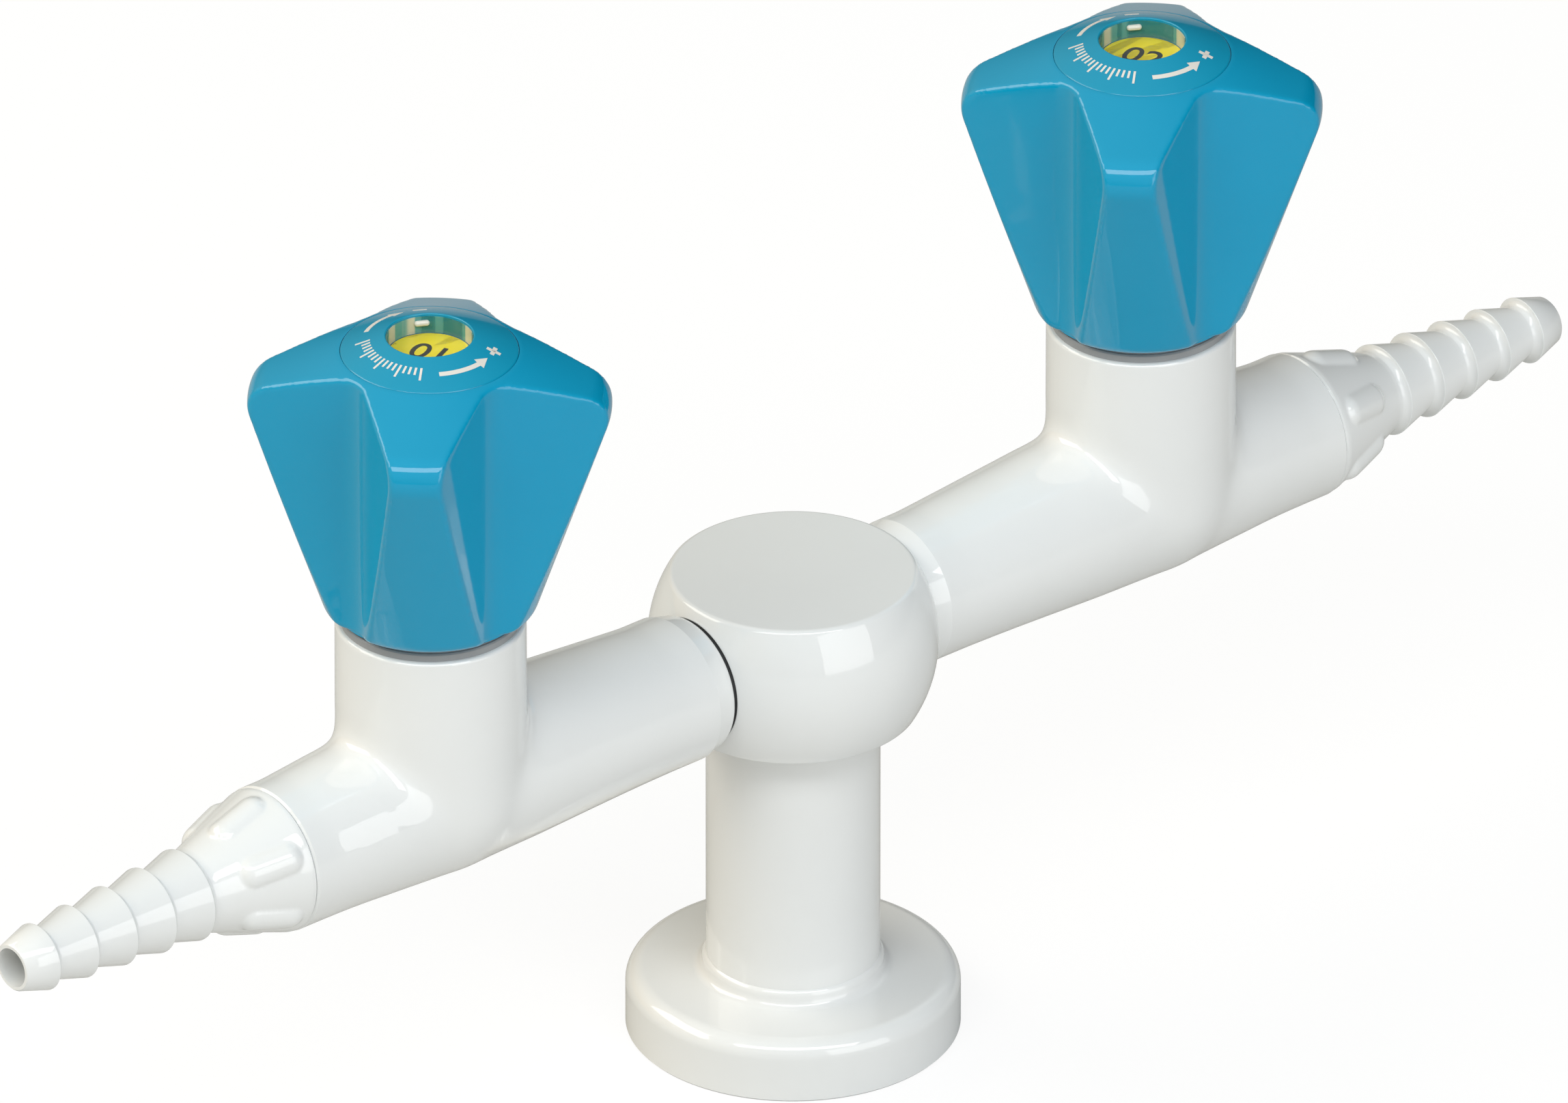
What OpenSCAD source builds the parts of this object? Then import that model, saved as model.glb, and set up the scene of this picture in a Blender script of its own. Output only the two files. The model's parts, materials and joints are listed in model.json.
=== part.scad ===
// Bench-mounted laboratory gas tap: one column, a round hub and two valve arms
// set opposite each other, each with a four-lobed knob and a barbed hose nozzle.
// The origin is on the column axis at the underside of the base flange.
// The arms lie along X and the knobs turn about Z.

/* [Base flange] */
// Diameter of the base flange
base_d = 50; // [46:0.5:64]
// Height of the flange disc
base_h = 9.7; // [8:0.1:14]
// Radius of the rounded top edge of the flange
base_round = 2.8; // [0.5:0.1:4]
// Height of the raised collar above the disc
collar_rise = 2.3; // [2:0.1:5]
// Wall of the raised collar outside the column
collar_wall = 0.6; // [0.5:0.1:1.5]
// Radius of the fillet at the foot of the collar
collar_fillet = 1.5; // [0.5:0.1:1.9]
// Height of the ledge inside the flange that the column's shoulder sits on
ledge_h = 7; // [5:0.5:7.5]
// Middle diameter of the sealing ring under the flange
gasket_d = 38; // [36:0.5:42]
// Width of the sealing ring
gasket_w = 3; // [2:0.1:4]
// Thickness of the sealing ring
gasket_t = 1.5; // [1:0.1:2.5]

/* [Column] */
// Diameter of the column
column_d = 26; // [25:0.5:29]
// Height of the arm axis above the bench
arm_height = 65.15; // [60:0.5:110]
// Diameter of the spigot at the foot of the column
foot_spigot_d = 22; // [20:0.5:23]
// Diameter of the threaded hole for the supply pipe, at the thread's crests
supply_d = 14.95; // [12:0.05:17]
// Depth of the threaded hole for the supply pipe
supply_l = 20; // [14:1:30]
// Diameter of the gas way up the column
gas_way_d = 8; // [5:0.5:10]
// Diameter of the spigot at the top of the column
top_spigot_d = 18; // [15:0.5:20]
// Length of the spigot at the top of the column
top_spigot_l = 5.6; // [4:0.2:6]
// Thickness of the sealing washer above that spigot
washer_t = 1.2; // [0.6:0.1:1.5]

/* [Hub] */
// Diameter of the ball
hub_d = 43.3; // [40:0.5:50]
// Height of the flat top above the arm axis
hub_top = 11.45; // [11:0.05:14]
// Depth of the flat underside below the arm axis
hub_bottom = 10.95; // [10.5:0.05:13]
// Radius of the edge of the flat top
hub_edge = 1; // [0.3:0.1:2]
// Diameter of the round recess in each side of the ball
port_d = 19.3; // [18.5:0.1:20]
// Distance from the column axis to the floor of that recess
port_face = 17; // [16.6:0.1:17.4]
// Depth of the threaded hole below that floor
port_depth = 5.2; // [4.6:0.2:6]

/* [Arms] */
// Distance from the column axis to the right knob axis
arm_reach = 68.35; // [64:0.5:90]
// How much further out the left arm stands on its seal
left_step = 2.15; // [0:0.05:3]
// Thickness of the right arm's seal
arm_seal_t = 0.6; // [0.3:0.1:1.2]
// Distance from the knob axis to the outlet end of the valve body
outlet_reach = 31.25; // [28:0.25:40]
// Diameter of the valve body at its ends
tube_d = 22.6; // [22:0.1:25]
// How far the tube swells under the knob, on its radius
belly = 0.9; // [0:0.1:1.5]
// Length of the swelling on the hub side
belly_in = 42; // [30:1:46]
// Length of the swelling on the outlet side
belly_out = 24; // [18:1:28]
// Length of the chamfer at the hub end
end_chamfer_l = 2.6; // [1:0.1:4]
// Depth of that chamfer, on the radius
end_chamfer_h = 0.7; // [0.3:0.1:1.2]
// Radius of the rounded nose that enters the hub's port
nose_round = 1.4; // [0.8:0.1:1.8]
// Diameter of the upright neck
neck_d = 28.46; // [27:0.1:32]
// Height of the neck's rim above the arm axis
neck_top = 29.35; // [28:0.05:33]
// Height above the arm axis of the ball that closes the neck below
neck_dome = 2; // [1.8:0.1:3]
// Height of the tube's crest where it meets the neck, on the hub side
crest_in = 13.2; // [12.4:0.05:14]
// Height of that crest on the outlet side
crest_out = 12.2; // [12.2:0.05:14]
// Distance from the knob axis at which the crest leaves the tube, on the hub side
crest_start_in = 42; // [36:1:44]
// Distance from the knob axis at which the crest leaves the tube, on the outlet side
crest_start_out = 27; // [24:1:28]
// Radius of the fillet between neck and tube
saddle_r = 3; // [2:0.25:6]
// Radius of the edges of the neck's rim
rim_round = 0.6; // [0.2:0.1:1]

/* [Gas ways] */
// Diameter of the threaded nipple between hub and arm
nipple_d = 14; // [11:0.5:15]
// Length of the nipple
nipple_l = 14; // [12.5:0.5:17]
// Diameter of the nipple's bore
nipple_bore_d = 6; // [4:0.5:7]
// Diameter of the inlet way drilled along the arm
inlet_d = 5; // [4:0.5:6]
// Distance from the knob axis at which the inlet way turns down to the seat
inlet_stop = 16; // [15:0.5:20]
// Diameter of the slanting way to the well under the seat
slant_d = 4.2; // [3:0.1:4.4]
// Diameter of the well under the seat
well_d = 4.8; // [4:0.1:5.2]
// Depth of the well's floor below the arm axis
well_floor = 8.4; // [8:0.1:8.8]
// Depth of the valve seat below the arm axis
seat_drop = 2.15; // [2.1:0.05:2.4]
// Diameter of the valve chamber at the seat
chamber_d = 8; // [7.8:0.1:8.6]
// Diameter of the outlet way beside the chamber
outlet_d = 4.2; // [3:0.1:4.2]

/* [Headwork] */
// Diameter of the headwork's thread in the neck
headwork_d = 19; // [17:0.5:21]
// Height above the arm axis of the headwork's lower end
headwork_foot = 10; // [9.5:0.25:11]
// Diameter of the room for the spindle inside the headwork
spindle_room_d = 12; // [11:0.25:13]
// Height above the arm axis of the shoulder that holds the spindle down
thrust_h = 27; // [26:0.25:28]
// Width across flats of the headwork's hexagon
hexagon_af = 20; // [18:0.5:20.5]
// Height of the hexagon
hexagon_h = 2; // [1.5:0.1:3]
// Diameter of the headwork's upper sleeve
sleeve_d = 12.4; // [11:0.2:14]
// Height of the sleeve's top above the arm axis
sleeve_top = 40; // [39:0.25:41]
// Diameter of the grey collar between neck and knob
collar_d = 26.8; // [24:0.2:27.6]
// Height of the collar's lower step
collar_step_h = 1.2; // [0.8:0.1:1.5]
// Full height of the collar
collar_h = 1.95; // [1.7:0.05:2]
// How much the collar's upper step is set in, on the radius
collar_set_in = 0.5; // [0.2:0.1:1]
// Length of the guide bush
guide_l = 5; // [4:0.25:6]
// Room between the headwork's lower end and the shoulder of its thread in the neck
thread_room = 1; // [0.5:0.1:1.5]
// Size of the lead-in at the top of that thread
lead_in = 1; // [0.5:0.1:1.5]

/* [Spindle and plunger] */
// Diameter of the spindle's stem
stem_d = 8; // [7:0.25:9]
// Diameter of the spindle's thrust collar
thrust_d = 11.6; // [10:0.2:11.8]
// Thickness of the thrust collar
thrust_t = 3.5; // [2:0.25:4]
// Diameter of the spindle's nut end
nut_d = 10; // [8:0.25:11]
// Length of the nut end below the thrust collar
nut_l = 4.6; // [3:0.2:4.8]
// Height of the spindle's top above the arm axis
spindle_top = 56; // [54:0.5:58]
// Width across the two flats that drive the spindle
flats_af = 6.4; // [5.5:0.1:7]
// Diameter of the plunger's lifting thread
lift_d = 5; // [4:0.25:5.5]
// Width of the plunger's square shank
square_w = 5.5; // [5:0.1:6]
// Diameter of the plunger's head
plunger_d = 7.2; // [6.4:0.1:7.4]
// Height of the plunger's head above its rubber
plunger_h = 6; // [4:0.25:7]
// Thickness of the seat washer
seat_washer_t = 2; // [1.5:0.1:2.5]
// Diameter of the pin that holds the seat washer
washer_pin_d = 2; // [1.5:0.1:2.5]
// How far that pin ends short of the seat
washer_pin_gap = 0.4; // [0.3:0.1:0.8]
// How much the seat washer is smaller than the plunger's head, on the radius
washer_set_in = 0.2; // [0.1:0.1:0.4]
// How far the plunger lifts from shut to full open
lift = 2; // [1:0.1:2.4]
// Cord thickness of the small sealing rings
ring_t = 1.2; // [1:0.05:1.3]
// Outer diameter of the spindle's retaining clip
clip_d = 11; // [10:0.25:12]
// Thickness of that clip
clip_t = 0.8; // [0.6:0.1:1]
// Depth of the clip's groove in the stem
clip_groove = 0.7; // [0.4:0.1:0.8]
// Width of the clip's mouth
clip_mouth = 3; // [2:0.25:4]

/* [Knob] */
// Radius of the knob's lower edge
knob_foot_r = 15.6; // [15:0.05:17]
// Gap between the neck's rim and the knob
knob_gap = 2.4; // [2.3:0.1:3]
// Radius at which the knob's side and top would meet in a sharp corner
shoulder_r = 28; // [25:0.25:32]
// Height of that corner above the knob's lower edge
shoulder_h = 36.5; // [34:0.25:42]
// Radius of the rounded shoulder
shoulder_round = 4.5; // [2:0.25:6]
// Height of the knob's top edge above its lower edge
knob_h = 42.75; // [41:0.25:52]
// Half width of a lobe's tip
lobe_half_w = 3.3; // [2:0.1:5]
// Radius of the bottom of the valleys between the lobes
valley_r = 14.4; // [14:0.1:15]
// Radius of the rounding in the valleys
valley_round = 6; // [2:0.25:8]
// Radius of the rounded lower edge
foot_round = 0.8; // [0.3:0.1:1.2]
// Diameter of the room under the knob
knob_room_d = 24.4; // [24:0.1:25.5]
// Height of that room above the lower edge
knob_room_h = 10.4; // [10:0.1:11.5]
// Diameter of the pocket above the knob's screw
pocket_d = 15; // [14:0.25:17]
// Depth of the pocket below the cap
pocket_l = 15; // [11:0.5:16]
// Diameter of the knob's screw
screw_d = 4; // [3:0.25:5]
// Length of the screw's shank
screw_l = 12; // [8:0.5:14]
// Diameter of the screw's head
screw_head_d = 7.2; // [6:0.2:9]
// Height of the screw's head
screw_head_h = 2.6; // [2:0.1:3.5]
// Width of the screw's slot
screw_slot_w = 1; // [0.8:0.1:1.4]
// Depth of the screw's slot
screw_slot_h = 1.2; // [0.8:0.1:1.6]

/* [Cap] */
// Diameter of the cap
cap_d = 26.4; // [24:0.2:28]
// Thickness of the cap's rim
cap_t = 1.4; // [1:0.1:2]
// Height of the window's rim above the cap's outer edge
cap_rise = 2.5; // [1.5:0.1:4]
// Diameter of the window
window_d = 12.94; // [11:0.1:13.2]
// Wall of the cap's skirt
skirt_wall = 0.9; // [0.6:0.1:1]
// Length of the cap's skirt
skirt_l = 6; // [3:0.25:8]
// Thickness of the coloured disc
disc_t = 1.2; // [0.8:0.1:1.3]
// Depth of the clear lens below the window's rim
window_depth = 2.65; // [2:0.05:3]
// Thickness of the lens
lens_t = 0.5; // [0.3:0.1:0.8]
// Width of the ledge that carries the coloured disc
disc_ledge_w = 1.2; // [0.8:0.1:1.5]
// Thickness of that ledge
disc_ledge_t = 1.2; // [0.8:0.1:1.5]

/* [Hose nozzle] */
// Length of the nozzle outside the valve body
nozzle_l = 49.55; // [45:0.5:60]
// Diameter of the nozzle's bore
nozzle_bore_d = 6.04; // [4:0.1:6.4]
// Diameter of the nozzle's mouth
mouth_d = 7.5; // [7.2:0.1:8]
// Diameter of the nozzle's root at the valve body
root_d = 22.3; // [20:0.1:22.6]
// Length of the straight land at the root, before its taper
root_land = 0.8; // [0.5:0.1:1.5]
// Length of the tapered root
root_l = 15.2; // [13:0.1:17]
// Diameter of the root's narrow end
root_end_d = 12.66; // [12:0.05:13]
// Number of barbs
barbs = 5; // [3:1:5]
// Distance of the first barb's rim from the valve body
barb_start = 16.4; // [16:0.1:18]
// Distance from barb to barb
barb_pitch = 7; // [5.5:0.1:7.5]
// Diameter of the first barb's rim
barb_d = 14.3; // [13.8:0.1:15]
// How much each barb is smaller than the one before
barb_step = 0.98; // [0.6:0.02:1.1]
// Radius of the fillet behind each rim
barb_fillet = 1.2; // [0.8:0.1:1.5]
// Number of grip ribs round the root
ribs = 6; // [4:1:8]
// Radius of a grip rib
rib_r = 2.9; // [2:0.1:3.2]
// Length of a grip rib between the middles of its round ends
rib_l = 5.6; // [3:0.1:7]
// Distance of the ribs' middle from the valve body
rib_at = 5.7; // [5.6:0.1:7]
// How far the ribs stand out
rib_rise = 1.1; // [0.5:0.1:1.6]
// Diameter of the spigot in the valve body
socket_d = 15; // [12:0.5:16]
// Length of that spigot
socket_l = 9; // [7:0.5:10]

/* [Fits] */
// Radial clearance of threads, spigots and turning fits
fit = 0.05; // [0.02:0.01:0.08]
// Clearance round an arm's nose in the hub's port
port_play = 0.1; // [0.05:0.05:0.2]

/* [Hidden] */

$fn = 72;
arc_steps = 8;
belly_steps = 7;
nose_steps = 5;
over = 0.5; // how far a cutting tool runs past the face that it cuts
sunk = 0.06; // how far a blending surface starts inside the surface that it grows from
edge_break = 0.3; // chamfer on the meeting edges of valve body, nozzle and cap
small_break = 0.2; // chamfer on the grey collar
rim_flat = 0.15; // flat rim of the last barb
groove_play = 0.3; // how much a seal's groove is wider than the seal
end_gap = 0.5; // room between the nut end and the plunger's square, valve open
pin_short = 0.8; // how much shorter the lifting pin is than nut end and thrust collar together
bore_gap = 0.4; // room above the pin, valve open
clip_gap = 0.3; // room between sleeve and clip
stem_land = 0.6; // length of round stem above the clip
stem_gap = 0.2; // room between the spindle's top and the knob
screw_play = 0.1; // clearance of the screw in the knob, on the radius
disc_play = 0.25; // clearance of the coloured disc in the cap, on the radius

// Heights and radii that follow from the driving sizes
column_r = column_d / 2;
hub_r = hub_d / 2;
neck_r = neck_d / 2;
tube_r = tube_d / 2;
end_r = tube_r - end_chamfer_h;
saddle_x = neck_r + saddle_r - sunk;

hub_underside = arm_height - hub_bottom;
washer_seat = hub_underside + top_spigot_l;
arm_face = port_face + arm_seal_t - arm_reach;
hub_end = arm_face + nose_round;
port_floor = port_face - port_depth;
nipple_start = port_floor + fit - arm_reach;
seat_z = -seat_drop;
collar_top = neck_top + collar_h;
knob_foot = neck_top + knob_gap;
knob_top = knob_foot + knob_h;
cap_floor = knob_top - cap_t;
pocket_floor = cap_floor - pocket_l;
window_top = knob_top + cap_rise;
disc_top = window_top - window_depth - lens_t;
disc_floor = disc_top - disc_t;
thrust_top = thrust_h - fit;
nut_end = thrust_top - thrust_t - nut_l;
square_top = nut_end - lift - end_gap;
lift_top = square_top + nut_l + thrust_t - pin_short;
plunger_foot = seat_z + seat_washer_t;
clip_z = sleeve_top + clip_gap;
groove_w = ring_t + groove_play;

white = [0.93, 0.94, 0.93];
blue = [0.18, 0.61, 0.77];
brass = [0.75, 0.6, 0.3];
steel = [0.72, 0.73, 0.75];
grey = [0.5, 0.52, 0.53];
rubber = [0.1, 0.1, 0.11];
yellow = [0.82, 0.75, 0.1];
clear = [0.8, 0.95, 0.93, 0.4];

// Points along an arc from angle a0 to a1
function arc(x, y, r, a0, a1, n = arc_steps) =
    [for (i = [0:n]) [x + r * cos(a0 + (a1 - a0) * i / n), y + r * sin(a0 + (a1 - a0) * i / n)]];

// A solid of revolution about X, from points [distance along X, radius]
module turned_x(points) {
    rotate([0, 90, 0]) rotate_extrude() polygon([for (p = points) [p[1], p[0]]]);
}

// A flat ring from height z0 to z1
module ring(r_out, r_in, z0, z1) {
    translate([0, 0, z0]) difference() {
        cylinder(r = r_out, h = z1 - z0);
        translate([0, 0, -over]) cylinder(r = r_in, h = z1 - z0 + 2 * over);
    }
}

// Sealing ring of round section, lying in its groove
module seal_ring(middle_r, z) {
    translate([0, 0, z]) rotate_extrude() translate([middle_r, 0]) circle(d = ring_t);
}

// Middle radius of a sealing ring that runs inside a bore of radius r
function ring_middle(r) = r - fit - ring_t / 2;
// Floor of the groove that holds it
function groove_r(r) = r - fit * 2 - ring_t;

// Groove cut round a shaft that turns or seats in a bore of radius r
module seal_groove(r, z) {
    ring(r + over, groove_r(r), z - groove_w / 2, z + groove_w / 2);
}

// Puts an arm in place: its own origin is where the knob axis crosses the arm axis
module right_arm() {
    translate([arm_reach, 0, arm_height]) children();
}
module left_arm() {
    rotate([0, 0, 180]) translate([arm_reach + left_step, 0, arm_height]) children();
}

module base_flange() {
    edge = base_d / 2;
    collar_r = column_r + collar_wall;
    top = base_h + collar_rise;
    lip = collar_wall / 2;
    color(white) difference() {
        rotate_extrude() polygon(concat(
            [[0, 0], [edge, 0]],
            arc(edge - base_round, base_h - base_round, base_round, 0, 90),
            arc(collar_r + collar_fillet, base_h + collar_fillet, collar_fillet, 270, 180),
            arc(collar_r - lip, top - lip, lip, 0, 90, 4),
            [[0, top]]
        ));
        translate([0, 0, ledge_h]) cylinder(r = column_r + fit, h = top);
        translate([0, 0, -over]) cylinder(r = foot_spigot_d / 2 + fit, h = top);
        ring((gasket_d + gasket_w) / 2 + fit, (gasket_d - gasket_w) / 2 - fit, -over, gasket_t);
    }
}

module base_gasket() {
    color(rubber) ring((gasket_d + gasket_w) / 2, (gasket_d - gasket_w) / 2, 0, gasket_t);
}

module column_tube() {
    color(white) difference() {
        union() {
            cylinder(d = foot_spigot_d, h = ledge_h + over);
            translate([0, 0, ledge_h]) cylinder(r = column_r, h = hub_underside - ledge_h);
            translate([0, 0, hub_underside - over]) cylinder(d = top_spigot_d, h = top_spigot_l + over);
        }
        translate([0, 0, -over]) cylinder(d = supply_d, h = supply_l + over);
        cylinder(d = gas_way_d, h = washer_seat + over);
    }
}

module column_washer() {
    color(rubber) ring(top_spigot_d / 2 - fit, gas_way_d / 2, washer_seat, washer_seat + washer_t);
}

// The ball with its flat top and underside, and a threaded port for each arm
module hub() {
    edge_z = hub_top - hub_edge;
    edge_r = sqrt(pow(hub_r - hub_edge, 2) - pow(edge_z, 2));
    color(white) difference() {
        translate([0, 0, arm_height]) rotate_extrude() polygon(concat(
            [[0, -hub_bottom]],
            arc(0, 0, hub_r, -asin(hub_bottom / hub_r), atan2(edge_z, edge_r), 3 * arc_steps),
            arc(edge_r, edge_z, hub_edge, atan2(edge_z, edge_r), 90),
            [[0, hub_top]]
        ));
        translate([0, 0, hub_underside - over])
            cylinder(r = top_spigot_d / 2 + fit, h = top_spigot_l + washer_t + over);
        translate([0, 0, hub_underside]) cylinder(d = gas_way_d, h = hub_bottom);
        for (turn = [0, 180]) rotate([0, 0, turn]) translate([0, 0, arm_height]) rotate([0, 90, 0]) {
            cylinder(d = gas_way_d, h = port_face);
            translate([0, 0, port_floor]) cylinder(r = nipple_d / 2 + fit, h = port_depth + over);
            translate([0, 0, port_face]) cylinder(d = port_d, h = hub_r);
        }
        right_arm() arm_end_room();
        left_arm() arm_end_room();
    }
}

// Room that an arm's rounded end takes in the hub, with the clearance round it
module arm_end_room() {
    wide_x = hub_end + end_chamfer_l;
    turned_x(concat(
        [[arm_face - port_play, 0]],
        arc(hub_end, end_r - nose_round, nose_round + port_play, 180, 90, nose_steps),
        [[wide_x, body_r(wide_x) + port_play], [wide_x, 0]]
    ));
}

// Seal between the hub's port and the arm
module arm_seal(thickness) {
    color(rubber) translate([arm_face - thickness, 0, 0]) rotate([0, 90, 0])
        ring(port_d / 2 - fit, nipple_d / 2 + fit, 0, thickness);
}

module arm_nipple() {
    color(brass) translate([nipple_start, 0, 0]) rotate([0, 90, 0])
        ring(nipple_d / 2, nipple_bore_d / 2, 0, nipple_l);
}

// Radius of the valve body's tube at x
function body_r(x) = tube_r + belly * (1 + cos(180 * min(1, abs(x) / (x < 0 ? belly_in : belly_out)))) / 2;

// Outline points of the swelling from x0 to x1
function belly_points(x0, x1) =
    [for (i = [0:belly_steps]) let (x = x0 + (x1 - x0) * i / belly_steps) if (i > 0 || x0 < 0) [x, body_r(x)]];

// Straight part of the crest: a leaning cone that comes out of the tube and rises into the neck
module crest_cone(x0, x1, crest) {
    r0 = tube_r - sunk;
    r1 = crest_r(x1, crest);
    lean = atan2(x1 - x0, crest - r1);
    further = (abs(x0) - neck_r / 2) / (abs(x0) - abs(x1));
    translate([x0, 0, 0]) rotate([0, lean, 0])
        cylinder(r1 = r0, r2 = r0 + further * (r1 - r0), h = further * norm([x1 - x0, crest - r1]));
}

// Radius of the cone that reaches the crest above and stays inside the tube below
function crest_r(x, crest) = (crest + body_r(x)) / 2 - sunk;

// Pipe bend that makes the fillet between neck and tube
module saddle(side, crest) {
    bend_r = crest_r(side * saddle_x, crest) - sunk;
    translate([side * saddle_x, 0, crest + saddle_r]) mirror([side > 0 ? 0 : 1, 0, 0]) rotate([90, 0, 0])
        rotate([0, 0, 180]) rotate_extrude(angle = 90) translate([bend_r + saddle_r, 0]) circle(r = bend_r);
}

module valve_body() {
    color(white) difference() {
        union() {
            turned_x(concat(
                [[arm_face, 0]],
                arc(hub_end, end_r - nose_round, nose_round, 180, 90, nose_steps),
                belly_points(hub_end + end_chamfer_l, 0),
                belly_points(0, outlet_reach - edge_break),
                [[outlet_reach, tube_r - edge_break], [outlet_reach, 0]]
            ));
            crest_cone(-crest_start_in, -saddle_x, crest_in);
            crest_cone(crest_start_out, saddle_x, crest_out);
            saddle(-1, crest_in);
            saddle(1, crest_out);
            rotate_extrude() polygon(concat(
                [[0, neck_dome - neck_r]],
                arc(0, neck_dome, neck_r, -90, 0, 2 * arc_steps),
                arc(neck_r - rim_round, neck_top - rim_round, rim_round, 0, 90, 4),
                [[0, neck_top]]
            ));
        }
        // threaded inlet, inlet way, slanting way and well under the seat
        translate([arm_face - over, 0, 0]) rotate([0, 90, 0])
            cylinder(r = nipple_d / 2 + fit, h = nipple_start + nipple_l + fit - arm_face + over);
        translate([arm_face, 0, 0]) rotate([0, 90, 0]) cylinder(d = inlet_d, h = -inlet_stop - arm_face);
        translate([-inlet_stop, 0, 0]) rotate([0, atan2(inlet_stop, -well_floor + slant_d / 2), 0])
            cylinder(d = slant_d, h = norm([inlet_stop, well_floor - slant_d / 2]));
        translate([0, 0, -well_floor]) cylinder(d = well_d, h = well_floor);
        // chamber, thread for the headwork, outlet way and socket for the nozzle
        translate([0, 0, seat_z]) cylinder(d = chamber_d, h = neck_top);
        translate([0, 0, headwork_foot - thread_room]) cylinder(r = headwork_d / 2 + fit, h = neck_top);
        rotate([0, 90, 0]) cylinder(d = outlet_d, h = outlet_reach);
        translate([outlet_reach - socket_l - fit, 0, 0]) rotate([0, 90, 0])
            cylinder(r = socket_d / 2 + fit, h = socket_l + over);
        translate([0, 0, neck_top - lead_in])
            cylinder(r1 = headwork_d / 2 + fit, r2 = headwork_d / 2 + fit + lead_in, h = lead_in + sunk);
    }
}

// Pill-shaped grip rib lying along the nozzle's tapered root
module grip_rib() {
    slope = atan2((root_d - root_end_d) / 2, root_l);
    surface_r = root_d / 2 - rib_at * tan(slope);
    translate([rib_at, 0, surface_r + (rib_rise - rib_r) / cos(slope)]) rotate([0, 90 + slope, 0]) {
        translate([0, 0, -rib_l / 2]) cylinder(r = rib_r, h = rib_l);
        for (end = [-1, 1]) translate([0, 0, end * rib_l / 2]) sphere(r = rib_r);
    }
}

module hose_nozzle() {
    taper = (barb_d / 2 - (barbs - 1) * barb_step / 2 - mouth_d / 2)
        / (nozzle_l - barb_start - (barbs - 1) * barb_pitch);
    seal_x = -socket_l / 2;
    color(white) translate([outlet_reach, 0, 0]) difference() {
        union() {
            turned_x(concat(
                [[0, 0], [0, root_d / 2 - edge_break], [edge_break, root_d / 2]],
                [[root_land, root_d / 2], [root_l, root_end_d / 2]],
                [for (i = [0:barbs - 1]) each barb(i, taper)],
                [[nozzle_l, mouth_d / 2], [nozzle_l, 0]]
            ));
            for (i = [0:ribs - 1]) rotate([i * 360 / ribs, 0, 0]) grip_rib();
            translate([-socket_l, 0, 0]) rotate([0, 90, 0]) cylinder(d = socket_d, h = socket_l + over);
        }
        translate([-socket_l - over, 0, 0]) rotate([0, 90, 0])
            cylinder(d = nozzle_bore_d, h = socket_l + nozzle_l + 2 * over);
        rotate([0, 90, 0]) seal_groove(socket_d / 2 + fit, seal_x);
    }
}

// Outline points of one barb: the fillet up to its rim, and the end of its taper
function barb(i, taper) =
    let (
        x = barb_start + i * barb_pitch,
        rim = barb_d / 2 - i * barb_step / 2,
        foot = i == 0 ? root_end_d / 2 : rim + barb_step / 2 - taper * (barb_pitch - barb_fillet),
        rise = acos(max(0, 1 - (rim - foot) / barb_fillet))
    )
    concat(
        arc(x - barb_fillet * sin(rise), foot + barb_fillet, barb_fillet, 270, 270 + rise, 6),
        i < barbs - 1 ? [] : [[x + rim_flat, rim]]
    );

module nozzle_seal() {
    color(rubber) translate([outlet_reach, 0, 0]) rotate([0, 90, 0])
        seal_ring(ring_middle(socket_d / 2 + fit), -socket_l / 2);
}

// Screwed-in valve top: thread, hexagon under the knob, and the sleeve that guides the spindle
module headwork() {
    color(brass) difference() {
        union() {
            translate([0, 0, headwork_foot]) cylinder(d = headwork_d, h = collar_top - headwork_foot);
            translate([0, 0, collar_top]) cylinder(d = hexagon_af / cos(30), h = hexagon_h, $fn = 6);
            translate([0, 0, collar_top]) cylinder(d = sleeve_d, h = sleeve_top - collar_top);
        }
        translate([0, 0, headwork_foot - over])
            cylinder(d = spindle_room_d, h = thrust_h - headwork_foot + over);
        cylinder(r = stem_d / 2 + fit, h = sleeve_top + over);
    }
}

// Grey stepped ring that closes the gap between neck and knob
module headwork_collar() {
    inner_r = headwork_d / 2 + fit;
    color(grey) rotate_extrude() polygon([
        [inner_r, neck_top], [collar_d / 2, neck_top], [collar_d / 2, neck_top + collar_step_h - small_break],
        [collar_d / 2 - small_break, neck_top + collar_step_h],
        [collar_d / 2 - collar_set_in, neck_top + collar_step_h],
        [collar_d / 2 - collar_set_in, collar_top], [inner_r, collar_top]
    ]);
}

// Bush in the headwork's lower end, with the square hole that keeps the plunger from turning
module guide_bush() {
    color(brass) translate([0, 0, headwork_foot]) difference() {
        cylinder(r = spindle_room_d / 2 - fit, h = guide_l);
        translate([-square_w / 2 - fit, -square_w / 2 - fit, -over])
            cube([square_w + 2 * fit, square_w + 2 * fit, guide_l + 2 * over]);
    }
}

module plunger() {
    color(brass) {
        translate([0, 0, plunger_foot]) cylinder(d = plunger_d, h = plunger_h);
        translate([0, 0, seat_z + washer_pin_gap]) cylinder(d = washer_pin_d, h = seat_washer_t);
        translate([-square_w / 2, -square_w / 2, plunger_foot + plunger_h - over])
            cube([square_w, square_w, square_top - plunger_foot - plunger_h + over]);
        translate([0, 0, square_top - over]) cylinder(d = lift_d, h = lift_top - square_top + over);
    }
}

module seat_washer() {
    color(rubber) ring(plunger_d / 2 - washer_set_in, washer_pin_d / 2 + fit, seat_z, plunger_foot);
}

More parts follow.
